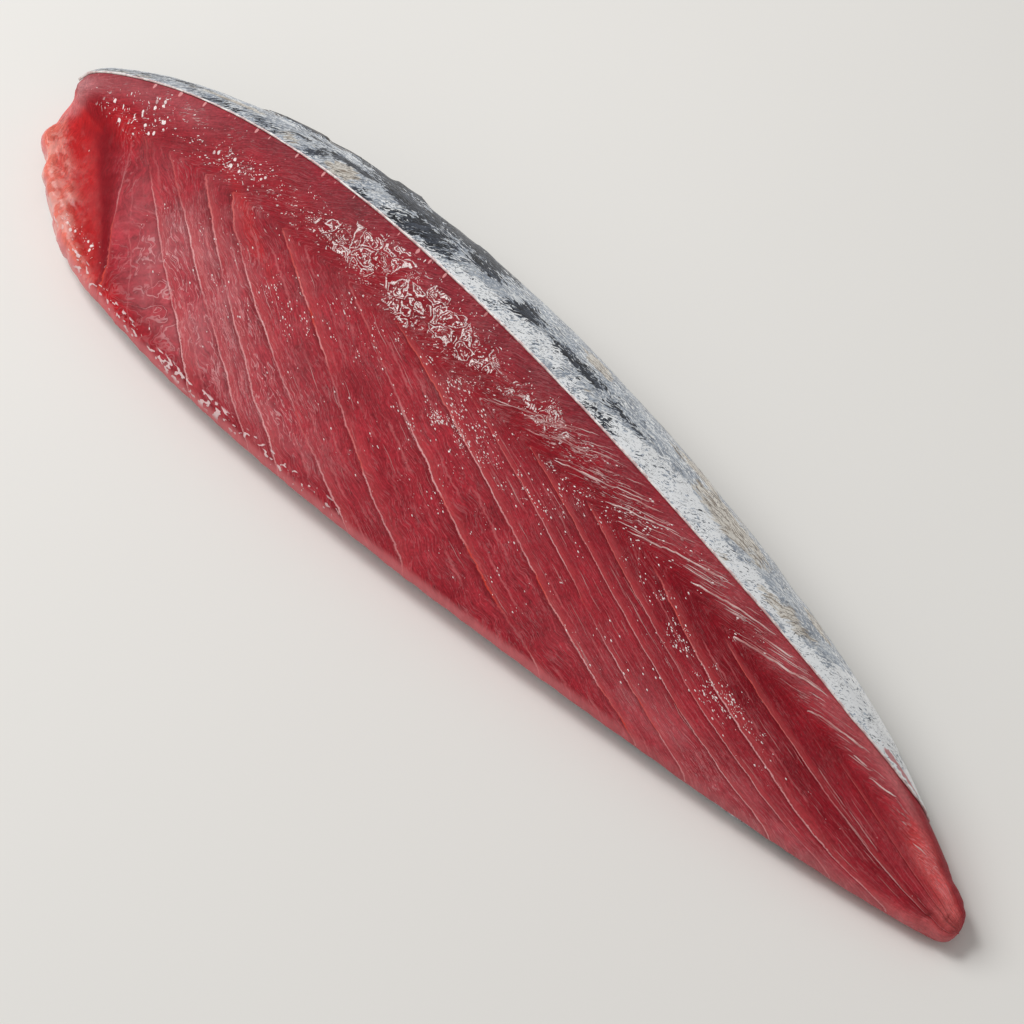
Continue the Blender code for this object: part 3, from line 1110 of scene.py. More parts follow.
# %% [markdown]
# ## Lip, tabs and rim patches
# The outline of a fillet is never plain. The near lip is a pink bead, made paler on its steep
# side as painted light, with painted shade in the groove inside it and a row of small white blobs
# that are painted highlights; little round tabs of fat sit beside the skin, and the rim of the head
# end has pale pink patches. Each is drawn by its distance from an edge, so it stays on that edge if
# the form changes.

# %% Marks along the edges
# lip pink made paler as painted light on its steep side, groove red as painted shade, blobs as painted
# highlights
LIP_PINK_AND_LIGHT, GROOVE_SHADE, LIP_GLINT = (220, 122, 126), (120, 18, 30), (238, 210, 210)
TAB, RIM_PATCH_PINK = (228, 160, 160), (236, 172, 162)
print("lip from", LIP_PINK_AND_LIGHT, "with blobs of", LIP_GLINT)


def draw_lip(colour, at):
    """A pink bead made paler as painted light on its steep side, painted shade in the groove inside it
    and a row of small white blobs that are painted highlights.
    """
    bead = between(at.from_lip, -8.0, -2.5, 1.4, 0.2) * spread(at.x, 40.0, 100.0, 0.75, 0.3)
    colour = mix(bead, colour, LIP_PINK_AND_LIGHT)
    groove = between(at.from_lip, 1.6, 2.8, 5.5, 3.0)
    colour = mix(groove * 0.10, colour, GROOVE_SHADE)
    crowd = spread(abs(at.x + 76.0), 34.0, 16.0, 0.0, 0.085)
    crowd = crowd + spread(grain(joined(at.x * 0.06), 1.0, 1.0), 0.3, 0.7, -0.08, 0.05)
    drawn = grain(joined(at.x * 0.50, at.from_lip * 1.5), 1.0, 1.0)
    lip_glints = spread(drawn + crowd, 0.625, 0.645) * between(at.from_lip, 0.1, 0.6, 2.7, 2.1)
    lip_glints = lip_glints * spread(abs(at.x + 80.0), 72.0, 55.0)
    return mix(lip_glints * 0.85, colour, LIP_GLINT), lip_glints


def draw_tabs(colour, at):
    """Small round pale tabs beside the skin."""
    from_skin = (0.99 - at.across) * at.wide
    round_off = from_skin * from_skin * 0.09
    tabs = spread(grain(joined(at.x * 0.5), 1.0, 1.0) - round_off, 0.60, 0.62)
    tabs = tabs * spread(at.across, 0.955, 0.965) * spread(at.x, 0.0, -35.0)
    return mix(tabs * 0.85, colour, TAB)


def draw_rim_patches(colour, at):
    """Pale pink patches on the orange rim of the head end."""
    patches = at.rim * spread(grain(at.where, 170.0, 4.0, 0.6), 0.50, 0.57)
    return mix(patches * 0.8, colour, RIM_PATCH_PINK)


# %% Flesh material
def flesh_material():
    material, tree, shader = new_material("raw flesh")
    at = FleshPlaces(tree)
    colour = draw_fibres(read(tree, "tone", "Color"), at)
    colour, line = draw_bands(colour, at)
    colour, pale, dashes = draw_membrane(colour, at)
    colour, lip_glints = draw_lip(colour, at)
    colour = draw_rim_patches(draw_tabs(colour, at), at)
    rough = 0.48 + at.wet * -0.08 + spread(at.cloudy, 0.3, 0.7, -0.08, 0.08)
    damp = spread(grain(at.where, 260.0, 3.0), 0.45, 0.65, 0.0, 0.04)
    film = clamped(damp * spread(at.across, 0.9, 0.8) + (pale * 0.25 + at.rim * 0.5))

    # fine surface
    wrinkles = grain(at.where, 900.0, 3.0, 0.55, 0.8)
    height = at.fine * 0.07 + at.coarse * 0.12
    height = height + larger(line, pale) * 0.3 + larger(dashes, lip_glints) * 0.5
    height = height + wrinkles * (0.10 + (at.wet * 0.35 + at.glint * 0.3))
    normal = bumps(height, 0.00045, 0.8)
    fill(shader, {
        "Base Color": colour, "Roughness": rough, "Specular IOR Level": 0.06,
        "Subsurface Weight": 0.14, "Subsurface Radius": (1.0, 0.22, 0.18), "Subsurface Scale": 0.0018,
        "Coat Weight": film, "Coat Roughness": 0.06, "Coat IOR": 1.6,
        "Normal": normal, "Coat Normal": normal})
    return material


raw_flesh = flesh_material()
print("raw flesh is made of", len(raw_flesh.node_tree.nodes), "nodes")
flesh.data = grow(flesh, relief_tree(raw_flesh), RELIEF)
print("relief grown on", len(flesh.data.vertices), "points")

# %% Points on the finished flesh
def grid_of(mesh, field):
    """Positions or normals of the flesh's rings, without the two end points."""
    flat = np.empty(len(mesh.vertices) * 3)
    if field == "co":
        mesh.vertices.foreach_get("co", flat)
    else:
        mesh.vertex_normals.foreach_get("vector", flat)
    return flat.reshape(-1, 3)[:len(stations) * ROUND].reshape(len(stations), ROUND, 3)


surface, outward = grid_of(flesh.data, "co"), grid_of(flesh.data, "normal")


def on_flesh(along_at, across_at, lift=0.0):
    """Points on the cut face at places along (mm) and across, lifted along the normal."""
    found = []
    for a, c in zip(along_at, across_at):
        row = np.interp(a, stations / MM, np.arange(len(stations)))
        row = np.clip(row, 0, len(stations) - 1.001)
        k, share = int(row), row % 1
        ends = []
        for r in (k, k + 1):
            column = np.clip(np.interp(c, across[r, :FACE_STEPS + 1], np.arange(FACE_STEPS + 1)),
                             0, FACE_STEPS - 0.001)
            j, part = int(column), column % 1
            ends.append([g[r, j] * (1 - part) + g[r, j + 1] * part for g in (surface, outward)])
        place, normal = (ends[0][m] * (1 - share) + ends[1][m] * share for m in (0, 1))
        found.append(place + normal * lift)
    return np.array(found)


# %% [markdown]
# ## Pale threads
# Between the bands lie thin sheets of tissue. The knife shows their edges as pale threads, and
# near the skin as short white streaks. Painted lines alone look flat from the side, so each
# thread is a thin tube half sunk in the flesh. The paths come from the same rule as the bands,
# and a Geometry Nodes tree sweeps a small ring along all of them, thick or thin as it is told.

# %% Paths of the threads
THREAD_ENDS = (-160, 163)       # no thread runs past these places along, in mm
THREAD_SUNK = 0.35              # how deep a thread lies in the flesh, in its own thickness
THREAD_STEP = 0.9               # from point to point, in mm
THREAD_TIP = 5                  # points over which a thread thins out at its ends
ARM_WIDTH = 58                  # the face where the threads lie, in mm


class Paths:
    """Collects open paths with a thickness and a paleness for each point."""

    def __init__(self):
        self.points, self.edges, self.girth, self.pale = [], [], [], []

    def add(self, path, girth, pale):
        first = len(self.points)
        self.points += path.tolist()
        self.edges += [(first + k, first + k + 1) for k in range(len(path) - 1)]
        self.girth += list(girth)
        self.pale += list(pale)

    def build(self, name):
        mesh = bpy.data.meshes.new(name)
        mesh.from_pydata(self.points, self.edges, [])
        mesh.attributes.new("girth", "FLOAT", "POINT").data.foreach_set("value", self.girth)
        mesh.attributes.new("pale", "FLOAT", "POINT").data.foreach_set("value", self.pale)
        return add_object(name, mesh)


def arm_path(origin, first, last):
    """Places along and across on one band edge, from one place across to another."""
    tries = np.linspace(first, last, 400)
    at = arm_at(origin, tries)
    run = np.concatenate(([0], np.cumsum(np.hypot(np.diff(at), np.diff(tries) * ARM_WIDTH))))
    even = np.linspace(0, run[-1], max(int(run[-1] / THREAD_STEP), 3))
    return np.interp(even, run, at), np.interp(even, run, tries)


def lay_thread(paths, origin, first, last, girth, pale, seed, cover, shake):
    """One thread along a band edge, broken where a slow random value is low."""
    at, level = arm_path(origin, first, last)
    inside = (at > THREAD_ENDS[0]) & (at < THREAD_ENDS[1])
    at, level = at[inside], level[inside]
    if len(at) < 4:
        return
    spot = np.column_stack((at, level * USUAL_WIDTH))
    at = at - drift(spot)
    at = at + shake * (cloud(spot, 2.5, seed) + 1.4 * cloud(spot, 9, seed + 3))
    strength = lumps(spot, 9.0, seed + 31) * 0.6 + lumps(spot, 3.0, seed + 37) * 0.4
    ends = np.clip(np.minimum(np.arange(len(at)), np.arange(len(at))[::-1]) / THREAD_TIP, 0.1, 1)
    thick = girth * ends * (0.55 + 0.9 * strength)
    keep = strength > 1 - cover - 0.15
    pieces = np.flatnonzero(np.diff(np.concatenate(([0], keep.astype(int), [0]))))
    for start, stop in zip(pieces[::2], pieces[1::2]):
        if stop - start >= 3:
            part = slice(start, stop)
            path = on_flesh(at[part], level[part], -THREAD_SUNK * girth)
            paths.add(path, thick[part], np.full(stop - start, pale) * (0.6 + 0.4 * strength[part]))


# where a long thread starts on the tip line, its first and last place across, its thickness
UPPER_THREADS = (
    (4, 0.03, 0.90, 0.6), (17, 0.02, 0.97, 0.7), (28, 0.05, 0.93, 0.6), (42, 0.01, 0.98, 0.8),
    (50, 0.07, 0.92, 0.6), (60, 0.03, 0.985, 0.9), (73, 0.09, 0.97, 0.7), (85, -0.02, 0.985, 0.9),
    (97, 0.10, 0.93, 0.6), (107, 0.00, 0.985, 1.0), (119, 0.05, 0.90, 1.3), (127, 0.03, 0.97, 0.7),
    (136, 0.09, 0.95, 1.1), (146, 0.02, 0.93, 0.9))
THREAD_GIRTH = 0.00029
SHORT_THREADS, FAINT_THREADS = 105, 260


def lay_threads():
    """Long threads from the list, then short white ones by the skin and faint ones below."""
    paths = Paths()
    for number, (origin, first, last, thickness) in enumerate(UPPER_THREADS):
        lay_thread(paths, origin, keyed(TIP_LINE, origin) + first, last, THREAD_GIRTH * thickness,
                   1.0, 200 + 10 * number, 0.80, 0.9)
    draw = np.random.RandomState(7)
    for number in range(SHORT_THREADS):
        origin = -8 + 136 * draw.uniform(0, 1) ** 1.4
        start = keyed(TIP_LINE, origin) + draw.uniform(0.01, 0.2)
        stop = min(start + draw.uniform(0.04, 0.13), 0.99)
        girth = THREAD_GIRTH * draw.uniform(0.3, 0.55)
        lay_thread(paths, origin, start, stop, girth, draw.uniform(0.4, 1.0), 500 + number, 0.75, 0.7)
    for number in range(FAINT_THREADS):
        origin = draw.uniform(-125, 100)
        start = draw.uniform(0.08, 0.62)
        stop = start + draw.uniform(0.02, 0.09)
        girth = THREAD_GIRTH * draw.uniform(0.25, 0.45)
        lay_thread(paths, origin, stop, start, girth, draw.uniform(0.1, 0.45), 900 + number, 0.6, 0.5)
    return paths.build("flesh_threads")


# %% Tree and material of the threads
THREAD_PALE, THREAD_DULL, THREAD_WARM, THREAD_STAIN = (
    (238, 206, 202), (182, 92, 92), (196, 66, 52), (170, 80, 82))


def thread_material():
    material, tree, shader = new_material("pale thread")
    patchy = grain(object_place(tree), 160.0, 3.0)
    dull = mix(spread(patchy, 0.48, 0.6), THREAD_DULL, THREAD_WARM)
    colour = mix(read(tree, "pale", "Fac"), dull, THREAD_PALE)
    fill(shader, {
        "Base Color": mix(spread(patchy, 0.35, 0.7), colour, THREAD_STAIN),
        "Roughness": spread(patchy, 0.3, 0.7, 0.25, 0.4),
        "Subsurface Weight": 0.3, "Subsurface Radius": (1.0, 0.4, 0.35), "Subsurface Scale": 0.001,
        "Coat Weight": 0.6, "Coat Roughness": 0.12})
    return material


def thread_tree(material):
    """Sweeps a small ring of six sides along every path."""
    tree, size = geometry_tree("pale threads", {"Thickness": 1.0})
    curves = output(tree, "GeometryNodeMeshToCurve", {0: size["Geometry"]})
    girth = stored(tree, "girth", "FLOAT") * size["Thickness"]
    sized = output(tree, "GeometryNodeSetCurveRadius", {"Curve": curves, "Radius": girth})
    ring = output(tree, "GeometryNodeCurvePrimitiveCircle", {"Resolution": 6, "Radius": 1.0})
    tube = output(tree, "GeometryNodeCurveToMesh", {
        "Curve": sized, "Profile Curve": ring, "Fill Caps": True, "Scale": girth})
    finish_tree(tree, tube, material)
    return tree


def grow_threads():
    threads = lay_threads()
    threads.data = grow(threads, thread_tree(thread_material()), {"Thickness": 1.0})
    return threads


threads = grow_threads()
print("threads:", len(threads.data.polygons), "faces")

# %% [markdown]
# ## Beads of moisture
# A cut fillet sweats. Tiny drops stand on the fibres as rows of bright dots; their near-white colour
# is a painted highlight.
# There are far too many to place by hand, so a Geometry Nodes tree scatters them over the flesh,
# thickest where the glint zone is strong, and lays each long drop along the fibres.

# %% Scattering the beads
BEADS = {"Per square metre": 7500000.0, "Smallest": 0.00005, "Largest": 0.00019}


BEAD_SHAPE = (2.3, 1.0, 0.6)    # along the fibre, across it and up
BEAD_SEED = 5
# near-white bead colours: a painted highlight for each small drop
BEAD_GLINT_TONES = (238, 214, 212), (250, 242, 240)


def bead_material():
    material, tree, shader = new_material("moisture")
    tint = mix(grain(object_place(tree), 90.0), *BEAD_GLINT_TONES)
    fill(shader, {"Base Color": tint, "Roughness": 0.12, "Coat Weight": 1.0, "Coat Roughness": 0.03})
    return material


def bead_tree(material):
    """Scatters flat little spheres in rows, most of them small."""
    tree, size = geometry_tree("moisture beads", BEADS, BEAD_SEED)
    glint = split(stored(tree, "zones"))[2]
    where = output(tree, "GeometryNodeInputPosition")
    rows = stored(tree, "fibre") * (1.1, 0.10, 0.3)
    clumps = spread(grain(where, 130.0, 3.0), 0.42, 0.60) * spread(grain(rows, 1.0), 0.52, 0.60)
    amount = glint ** 2.0 * clumps * size["Per square metre"]
    spots = add_node(tree, "GeometryNodeDistributePointsOnFaces", {
        "Mesh": size["Geometry"], "Density": amount, "Seed": size["Seed"]}).outputs
    drop = output(tree, "GeometryNodeMeshUVSphere", {"Segments": 7, "Rings": 4, "Radius": 1.0})
    along_fibre = output(tree, "FunctionNodeAlignRotationToVector", {
        "Rotation": Value(spots["Rotation"]), "Vector": stored(tree, "fibre_way")},
        axis="X", pivot_axis="Z")
    dice = add_node(tree, "FunctionNodeRandomValue", {"Seed": size["Seed"]}, data_type="FLOAT")
    chance = Value(next(o for o in dice.outputs if o.enabled and o.type == "VALUE"))
    across_size = size["Smallest"] + chance ** 2.5 * (size["Largest"] - size["Smallest"])
    laid = output(tree, "GeometryNodeInstanceOnPoints", {
        "Points": Value(spots["Points"]), "Instance": drop, "Rotation": along_fibre,
        "Scale": scaled(BEAD_SHAPE, across_size)})
    finish_tree(tree, laid, material)
    return tree


def fibre_ways():
    """The direction of the fibres at every point: the line where the origin stays the same."""
    du, dv = np.gradient(points, axis=0), np.gradient(points, axis=1)
    ou, ov = np.gradient(origin, axis=0), np.gradient(origin, axis=1)
    way = du * ov[..., None] - dv * ou[..., None]
    way[way[..., 0] < 0] *= -1
    return way / np.maximum(np.linalg.norm(way, axis=-1, keepdims=True), 1e-12)


def grow_beads():
    put_values(flesh.data, "fibre_way", fibre_ways())
    beads = add_object("moisture_beads", flesh.data.copy())
    beads.data = grow(beads, bead_tree(bead_material()), BEADS | {"Seed": BEAD_SEED})
    return beads


beads = grow_beads()
print("beads:", len(beads.data.polygons), "faces")

# %% [markdown]
# ## The skin
# Bonito skin is thin, smooth and silver, blue-grey towards the back with dark smudges, and its
# cut edge shows as a thin line of white fat beside the ridge. It is one shell less than a
# millimetre thick that follows the flesh. Solidify could thicken a sheet, but here the shell is
# built ring by ring, so that the cut edge can waver and the tail end can taper to a slant.

# %% Sheet under the back
SKIN_GAP = 0.0003
SKIN_THICKNESS = 0.0009
SKIN_STATIONS = 560
SKIN_STEPS = 56
SHARES = np.append(0, 0.004 + 0.996 * np.linspace(0, 1, SKIN_STEPS))
# where the cut edge leaves the ridge near the tail: along the loin, how far down the back, in mm
CLEAR_OF_ENDS = (0.002, 0.024)      # slices of the skin stay this far inside its two ends
TAIL_AT, TAIL_SLANT = 147.0, 20.0   # where the skin ends, and how much sooner lower down
SLANT_START, SLANT_WIDTH = 13, 26.0
HEAD_RAGGED, TAIL_RAGGED = 1.2, 0.7
CUT_IN = ((119, 0), (128, 1.3), (136, 2.9), (141, 4.5), (145, 7.5), (149, 12))
skin_low, skin_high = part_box("skin")


def skin_reach():
    """How far round the back the skin goes at each station, in metres from the ridge."""
    ends = edge_ends("skin")
    around = run_length(fine_back)
    reach = np.zeros(len(stations))
    for k, x in enumerate(stations):
        inside = np.clip(x, skin_low.x + CLEAR_OF_ENDS[0], skin_high.x - CLEAR_OF_ENDS[1])
        cut = slice_at(ends, inside + NUDGE)
        edge = cut[cut[:, 0].argmin()]
        off = np.linalg.norm(fine_back[k] - edge, axis=1)
        reach[k] = around[k, FINE_BACK // 3 + off[FINE_BACK // 3:].argmin()]
    return soften(reach, 6.0, 0)


def down_at(share, x, reach):
    """How far down the back a share of the skin's way round lies, in mm, at a place along."""
    start = keyed(CUT_IN, x)
    return start + share * (np.interp(x, stations / MM, reach) / MM - start)


def back_grid():
    """The back in even steps from the cut edge (share 0) to the skin's end (share 1)."""
    around, reach = run_length(fine_back), skin_reach()
    rows = []
    for k, x in enumerate(stations):
        down = down_at(SHARES, x / MM, reach) * MM
        rows.append(np.column_stack([np.interp(down, around[k], fine_back[k, :, c]) for c in (0, 1)]))
    grid = np.dstack((np.repeat(stations[:, None], SKIN_STEPS + 1, 1), np.array(rows)))
    return soften(grid, 1.5, 0), reach


def normals_of(grid):
    across_way = np.cross(np.gradient(grid, axis=0), np.gradient(grid, axis=1))
    return across_way / np.maximum(np.linalg.norm(across_way, axis=-1, keepdims=True), 1e-12)


def tail_end(down):
    """Where along the loin the skin ends, by the distance from its cut edge in mm."""
    slant = unit((down - SLANT_START) / SLANT_WIDTH)
    return TAIL_AT - TAIL_SLANT * slant * slant * (3 - 2 * slant)


def skin_sheet():
    """Sheet points and normals with their place along and down from the cut edge, in mm."""
    grid, reach = back_grid()
    normal = normals_of(grid)
    a, b = np.meshgrid(np.linspace(0, 1, SKIN_STATIONS + 1), SHARES, indexing="ij")
    ragged = cloud(np.dstack((a * 340, b * 60)), 3.0, 41, 3)
    guess = np.interp(a, [0, 1], [skin_low.x / MM, TAIL_AT - 1])
    down = down_at(b, guess, reach)
    start = skin_low.x / MM + HEAD_RAGGED * (1 + ragged) * (b > 0)
    stop = tail_end(down) + TAIL_RAGGED * ragged
    x = start + (stop - start) * a
    row = np.interp(x, stations / MM, np.arange(len(stations)))
    k = np.clip(row.astype(int), 0, len(stations) - 2)
    share = (row - k)[..., None]
    column = np.broadcast_to(np.arange(SKIN_STEPS + 1), x.shape)
    place = grid[k, column] * (1 - share) + grid[k + 1, column] * share
    way = normal[k, column] * (1 - share) + normal[k + 1, column] * share
    return place, way, x, down_at(b, x, reach)


sheet, sheet_normal, skin_along, skin_down = skin_sheet()
sheet = pull_corner(sheet)
print("skin sheet:", sheet.shape[:2], "widest way round in mm:", round(float(skin_down.max()), 1))

# %% Marks on the skin
# how far down from the ridge the skin turns out of sight from above, in mm, along the loin
TURN_DOWN = (
    (-165, 3.0), (-140, 8.6), (-120, 12.0), (-100, 15.3), (-80, 18.3), (-60, 21.0), (-40, 23.0),
    (0, 24.2), (40, 22.5), (80, 20.0), (100, 16.5), (120, 14.0), (145, 11.5))
# middle along, middle level (0 at the ridge, 1 where it turns under), reaches, lean, strength
SMUDGES = (
    (-150, 0.55, 13, 0.35, 0.0, 0.5), (-134, 0.80, 12, 0.12, 0.0, 0.75),
    (-119, 0.22, 6, 0.25, 0.0, 0.5), (-104, 0.25, 6, 0.22, 0.0, 0.5), (-88, 0.36, 3, 0.32, 4.0, 0.75),
    (-79, 0.68, 12, 0.08, 0.4, 1.1), (-95, 0.62, 3, 0.07, 0.0, 0.9), (-92, 0.82, 6, 0.05, 0.0, 0.7),
    (-69, 0.96, 9, 0.12, 0.0, 1.1), (-69, 0.08, 5, 0.16, 0.0, 0.85), (-49, 0.34, 13, 0.38, 1.0, 0.86),
    (-58, 0.78, 15, 0.14, 0.0, 1.15), (-31, 0.72, 7, 0.13, 0.0, 1.1), (-40, 0.93, 17, 0.12, 0.0, 1.15),
    (-13, 0.57, 7, 0.10, 1.0, 1.1), (-12, 0.73, 5, 0.07, 0.0, 1.0), (7, 0.62, 12, 0.11, 0.0, 0.82),
    (23, 0.52, 6, 0.07, 0.0, 0.9), (31, 0.58, 6, 0.05, 0.0, 0.8), (22, 0.12, 7, 0.13, 0.0, 0.7),
    (-21, 0.12, 3, 0.08, 0.0, 0.75))
STAINS = (
    (-78, 0.33, 6, 0.30, 0.0, 1.0), (-120, 0.66, 14, 0.14, 0.3, 0.9), (-97, 0.3, 4, 0.3, 0.0, 0.6),
    (9, 0.90, 7, 0.09, 0.0, 0.8), (15, 0.34, 5, 0.12, 0.0, 0.5), (64, 0.76, 15, 0.24, 0.0, 1.0),
    (48, 0.93, 11, 0.08, 0.0, 0.85), (90, 0.45, 12, 0.22, 1.0, 0.8), (96, 0.93, 8, 0.09, 0.0, 0.7),
    (69, 0.10, 5, 0.12, 0.0, 0.55), (-150, 0.3, 10, 0.3, 0.0, 0.7))
WHITES = (
    (-17, 0.18, 23, 0.28, 0.8, 1.1), (-48, 0.12, 12, 0.16, 0.0, 0.6), (42, 0.28, 22, 0.32, 0.6, 1.1),
    (17, 0.12, 12, 0.20, 0.0, 0.6), (76, 0.20, 20, 0.30, 0.8, 1.0), (106, 0.20, 16, 0.25, 0.0, 0.7),
    (134, 0.60, 24, 0.70, 0.0, 1.3), (-60, 0.30, 6, 0.2, 0.0, 0.6))


def marks(places, warp):
    """The strongest of several soft marks at each point of the skin."""
    strongest = np.zeros(skin_along.shape)
    sway = cloud(np.dstack((skin_along, skin_down * 2)), 9.0, warp)
    for x, level_at, wide, deep, lean, strength in places:
        off = (skin_along - x) / wide
        aside = (level - level_at - lean * (skin_along - x) / 100 + 0.06 * sway) / deep
        strongest = np.maximum(strongest, strength * np.exp(-(off ** 2 + aside ** 2) ** 1.4))
    return strongest


def dark_back():
    """The blue-black of the fish's back, which starts where the skin turns under."""
    spot = np.dstack((skin_along, skin_down))
    uneven = np.where(skin_along < 10, 0.14, 0.03) * cloud(spot, 12, 47)
    far = unit((turned - 0.985 - uneven) / 0.05)
    belly = unit((skin_down - 50 + 5 * cloud(spot, 18, 48)) / 22)
    return far * (1 - belly)


turned = skin_down / keyed(TURN_DOWN, skin_along)
level = np.where(turned < 1, 1 - (1 - turned) ** 2, turned)
smudge, stain, white = marks(SMUDGES, 43), marks(STAINS, 44), marks(WHITES, 45)
flaps = unit((lumps(np.dstack((skin_along * 0.09, skin_down * 0.28)), 1.0, 53) - 0.56) / 0.07)
flaps *= np.exp(-((turned - 0.98) / 0.15) ** 2) * unit((-28 - skin_along) / 12)
flaps *= unit((skin_along + 128) / 8)
smudge = np.maximum(np.maximum(smudge, dark_back()), 1.3 * flaps)
from_cut = skin_down - keyed(CUT_IN, skin_along)
pinkish = np.exp(-((skin_along - 135) / 8) ** 4 - ((from_cut - 1.6) / 0.8) ** 2) + unit(
    (skin_along - 143) / 4)
print("smudged share of the skin:", round(float((smudge > 0.5).mean()), 2))

# %% Shell of the skin
FLAP_HEIGHT, DENT_HEIGHT, RIPPLE_HEIGHT, EDGE_WAVER = 0.0012, 0.00022, 0.00010, 0.00016
EDGE_BULGE = 0.15                   # how far the rounded edges stand out, in steps round
TAIL_TAPER, EDGE_TAPER = 18, 4      # where the skin thins to its tail end and cut edge, in mm


def swell_of_skin():
    """How proud the outer side stands of its even shape: slow dents and lifted edges."""
    spot = np.dstack((skin_along, skin_down))
    dents = DENT_HEIGHT * cloud(spot, 12, 51, 3)
    return dents + RIPPLE_HEIGHT * cloud(spot * (0.4, 1.3), 1.6, 52, 2) + FLAP_HEIGHT * flaps


def skin_shell():
    """Rings of points: outer side, rounded lower edge, inner side, rounded cut edge."""
    towards_tail = np.clip((tail_end(skin_down) - skin_along) / TAIL_TAPER, 0.25, 1)
    thin = towards_tail * (0.45 + 0.55 * unit(skin_down / EDGE_TAPER))
    waver = EDGE_WAVER * cloud(np.dstack((skin_along, skin_along * 0)), 2.4, 55)
    outer = sheet + sheet_normal * (SKIN_GAP + SKIN_THICKNESS * thin + swell_of_skin())[..., None]
    inner = sheet + sheet_normal * (SKIN_GAP * 0.6)
    outer[:, 0, 2] += waver[:, 0]
    outer[..., 2] = np.maximum(outer[..., 2], 0)

    def bulge(k, inward):
        edge = (outer[:, k] + inner[:, k]) / 2 + (outer[:, k] - outer[:, inward]) * EDGE_BULGE
        return edge[:, None]

    return np.concatenate((outer, bulge(-1, -2), inner[:, ::-1], bulge(0, 1)), axis=1)


def cap_faces(row, flip):
    """Faces that close one end ring of the shell."""
    top, low = row[:SKIN_STEPS + 1], row[SKIN_STEPS + 2:-1][::-1]
    cap = [(low[0], row[-1], top[0]), (top[-1], row[SKIN_STEPS + 1], low[-1])]
    cap += [(top[k], top[k + 1], low[k + 1], low[k]) for k in range(SKIN_STEPS)]
    return [face[::-1] if flip else face for face in cap]


def round_shell(values):
    """Values of the sheet, carried round both sides of the shell."""
    return np.concatenate((values, values[:, -1:], values[:, ::-1], values[:, :1]), axis=1)


def make_skin():
    shell = skin_shell()
    rings, around = shell.shape[:2]
    index, _, quads = tube_quads(rings, around)
    mesh = bpy.data.meshes.new("silver_skin")
    faces = quads + cap_faces(index[0], False) + cap_faces(index[-1], True)
    mesh.from_pydata(shell.reshape(-1, 3).tolist(), [], faces)
    rim = np.zeros((rings, around))
    rim[:, [0, 2 * SKIN_STEPS + 2, around - 1]] = 1
    for name, parts in (("marks", (smudge, stain, white)), ("skin_place", (skin_along, skin_down)),
                        ("skin_tint", (pinkish, turned))):
        values = np.dstack([round_shell(v) for v in parts] + [rim] * (3 - len(parts)))
        mesh.attributes.new(name, "FLOAT_VECTOR", "POINT").data.foreach_set("vector", values.ravel())
    bake_map(mesh, quad_spots(rings, around), rings, around)
    mesh.shade_smooth()
    return add_object("silver_skin", mesh)


skin = make_skin()
print("skin:", len(skin.data.polygons), "faces")

# %% [markdown]
# ## The look of the skin
# The silver comes from tiny plates in the skin that mirror the light, so the shader is a little
# metallic under a clear coat. The pattern is built in layers, each on the skin's own place along
# and down from the cut edge: a pale ground, blue-grey streaks that run with the fish, dark
# smudges where they are painted, brown stains, and thin dark flecks over everything.

# %% Places and grains of the skin
SLANT = -0.56       # radians, how the pattern leans near the cut edge
print("the pattern leans by", round(math.degrees(SLANT)), "degrees near the cut edge")


def around(value, weight):
    """Grain as a push up or down from its middle."""
    return (value - 0.5) * weight


class SkinPlaces:
    """What the mesh of the skin stores, and the grains that its layers share."""

    def __init__(self, tree):
        self.x, self.down, self.rim = split(read(tree, "skin_place"))
        self.smudged, self.stained, self.whitened = split(read(tree, "marks"))
        self.pinkish, self.turned, _ = split(read(tree, "skin_tint"))
        even = joined(self.x, self.down)
        self.flat = swirled(even, even, 0.22, (3.0, 3.0, 0))
        self.turn = output(tree, "ShaderNodeVectorRotate", {"Vector": self.flat, "Angle": SLANT},
                           rotation_type="Z_AXIS")
        self.outer_part = spread(self.down, 6.0, 10.0)
        self.streaks = self.drawn(0.9, 7.0, 4.0)
        self.flecks = self.drawn(0.60, 1.6, 2.0, 0.5)
        self.fine = self.drawn(0.42, 1.0, 1.0, 0.3)
        self.hairs = self.drawn(0.50, 5.0, 2.0)
        self.blotches = self.drawn(2.2, 4.5, 5.0, 0.6)

    def drawn(self, across, along, detail=3.0, distortion=0.0):
        """Grain drawn out along the fish, and slanting down near the cut edge."""
        squeeze = (1 / along, 1 / across, 1)
        level_grain = grain(self.flat * squeeze, 1.0, detail, 0.6, distortion)
        slant_grain = grain(self.turn * squeeze, 1.0, detail, 0.6, distortion)
        return level_grain * self.outer_part + slant_grain * (1.0 - self.outer_part)


# %% Layers of the skin
SILVER, BLUE_GREY, GREY_FLECK, BRIGHT_FLECK, LONG_DARK = (
    (216, 220, 224), (170, 179, 191), (134, 143, 157), (240, 241, 240), (66, 72, 84))
BAND_WHITE, BAND_GREY, BAND_DARK = (242, 244, 246), (176, 185, 197), (84, 93, 108)
BEIGE, BROWN, DEEP_BROWN = (222, 216, 206), (152, 138, 122), (118, 104, 92)
BACK_DARK, BACK_BLUE, BACK_PALE, CRACK = (20, 22, 29), (62, 68, 80), (122, 130, 142), (58, 60, 68)
TURN_BROWN, TAIL_PINK = (96, 84, 76), (190, 84, 90)
EDGE_PINK, EDGE_FAT = (206, 176, 174), (236, 230, 226)
print("skin colours from", BACK_DARK, "to", BAND_WHITE)


